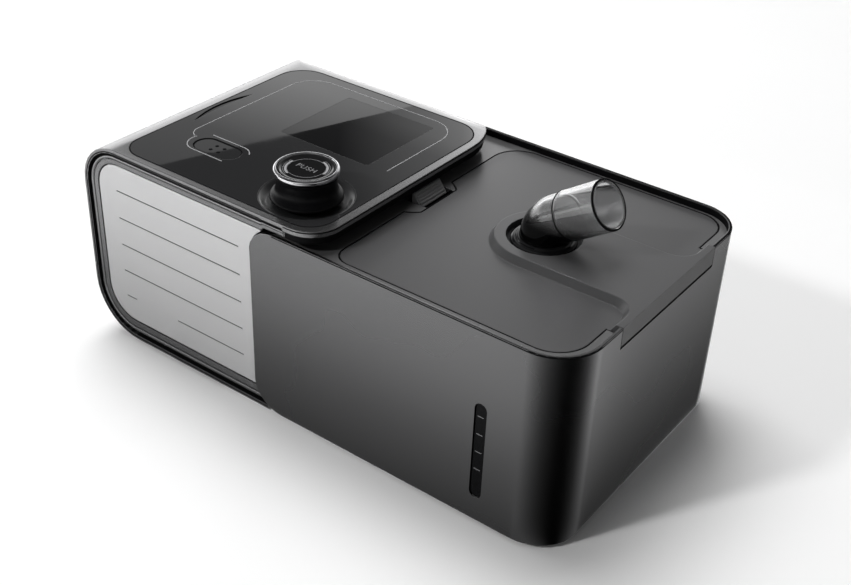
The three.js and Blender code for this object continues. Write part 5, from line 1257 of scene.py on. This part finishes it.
# %% Sweep a tube
SEAT_X, SEAT_Y = 205.493, 2.2
ELBOW_CORNER_Z = 101.0
RISE = math.radians(33.5)
BEND_RADIUS = 13.0
BEND_RUN = BEND_RADIUS * math.tan((math.pi / 2 - RISE) / 2)
OUTLET_DIRECTION = (math.cos(RISE), math.sin(RISE))


def on_outlet(distance):
    return (SEAT_X + distance * math.cos(RISE), ELBOW_CORNER_Z + distance * math.sin(RISE))


def elbow_path(bottom, reach, steps=18):
    path = [((SEAT_X, bottom), (0.0, 1.0))]
    start = ELBOW_CORNER_Z - BEND_RUN
    centre = SEAT_X + BEND_RADIUS
    for k in range(steps + 1):
        angle = (math.pi / 2 - RISE) * k / steps
        point = (centre - BEND_RADIUS * math.cos(angle), start + BEND_RADIUS * math.sin(angle))
        path.append((point, (math.sin(angle), math.cos(angle))))
    path.append((on_outlet(reach), OUTLET_DIRECTION))
    return path


def tube_ring(bm, place, direction, radius, steps=72):
    (x, z), (dx, dz) = place, direction
    ring_points = []
    for k in range(steps):
        angle = 2 * math.pi * k / steps
        side, depth = radius * math.cos(angle), radius * math.sin(angle)
        ring_points.append(bm.verts.new(at(x - side * dz, SEAT_Y + depth, z + side * dx)))
    return ring_points


def tube(name, stations):
    """Stations are (place, direction, radius) along the outside and back along the inside."""
    bm = bmesh.new()
    skin(bm, [tube_ring(bm, place, direction, radius) for place, direction, radius in stations], closed=True)
    return closed_piece(name, bm, 50)


def walled(path, outer, inner):
    outside = [(place, direction, outer) for place, direction in path]
    return outside + [(place, direction, inner) for place, direction in reversed(path)]


def along_outlet(profile):
    return [(on_outlet(distance), OUTLET_DIRECTION, radius) for distance, radius in profile]


print("bend runs", round(BEND_RUN, 2), "mm")

# %% Elbow bend and outlet cone
OUTER, INNER = 10.7, 9.0
SEAM, MOUTH = 12.6, 34.0
bend = tube("elbow_tube", walled(elbow_path(85.5, SEAM), OUTER, INNER))
dress(bend, "elbow", "clear_smoke", clear_smoke, "elbow_bend")
cone = tube("outlet_tube", along_outlet([
    (12.9, 10.5), (13.3, 10.95), (14.2, 11.0), (33.2, 11.0), (33.8, 10.85), (MOUTH, 10.5), (MOUTH, 9.7),
    (33.7, 9.35), (33.0, 9.3), (14.0, 9.3), (12.95, 9.3), (12.9, 9.7),
]))
dress(cone, "elbow", "clear_smoke", clear_smoke, "outlet_cone")
print("outlet mouth at", on_outlet(MOUTH))

# %% [markdown]
# Looked at edge-on, the rim of a clear tube is dark, because the light in the wall runs on along it. Two
# thin dark rings, at the mouth and over the joint of the two pieces, give these lines. A dark sleeve of
# painted shade fills the foot of the bend, where the real one opens into the unlit tank.

# %% Dark rings and the sleeve of painted shade
mouth_ring = tube("outlet_mouth_ring", along_outlet([
    (33.45, 10.45), (33.45, 11.04), (33.85, 11.0), (34.06, 10.8), (34.06, 10.2), (33.9, 10.2),
]))
dress(mouth_ring, "elbow", "clear_smoke", black_marks_and_painted_shade)
joint_ring = tube("elbow_joint_ring", along_outlet([
    (12.62, 10.6), (12.62, 10.98), (12.95, 10.98), (12.95, 10.6),
]))
dress(joint_ring, "elbow", "clear_smoke", black_marks_and_painted_shade)

# Painted shade: a dark sleeve inside the foot of the bend
SHADE_SLEEVE_OUTER, SHADE_SLEEVE_INNER, SHADE_SLEEVE_PART = 8.95, 8.6, 0.45
whole_path = elbow_path(86.0, SEAM)
shade_sleeve_path = whole_path[:1 + int((len(whole_path) - 2) * SHADE_SLEEVE_PART)]
shade_sleeve = tube("elbow_painted_shade_sleeve", walled(shade_sleeve_path, SHADE_SLEEVE_OUTER, SHADE_SLEEVE_INNER))
dress(shade_sleeve, "elbow", "rubber_dark", knob_black)
print("rings and lining made")

# %% [markdown]
# The foot of the elbow is a dark cuff with a few steps, which hides the joint. It turns with the elbow, so
# it rides on the same body.

# %% Cuff at the elbow's foot
SEAT_FLOOR = RIM_TOP - 3.0
cuff = turned("elbow_cuff", SEAT_X, SEAT_Y, rounded_profile([
    (10.75, SEAT_FLOOR + 0.75, 0.1), (14.4, SEAT_FLOOR + 0.75, 0.2), (14.4, SEAT_FLOOR + 1.7, 0.4),
    (13.2, SEAT_FLOOR + 2.3, 0.4), (12.4, SEAT_FLOOR + 2.3, 0.3), (11.9, SEAT_FLOOR + 3.2, 0.4),
    (10.75, SEAT_FLOOR + 3.3, 0.2),
]))
dress(cuff, "elbow", "matt_black", gloss_black)
print("cuff made")
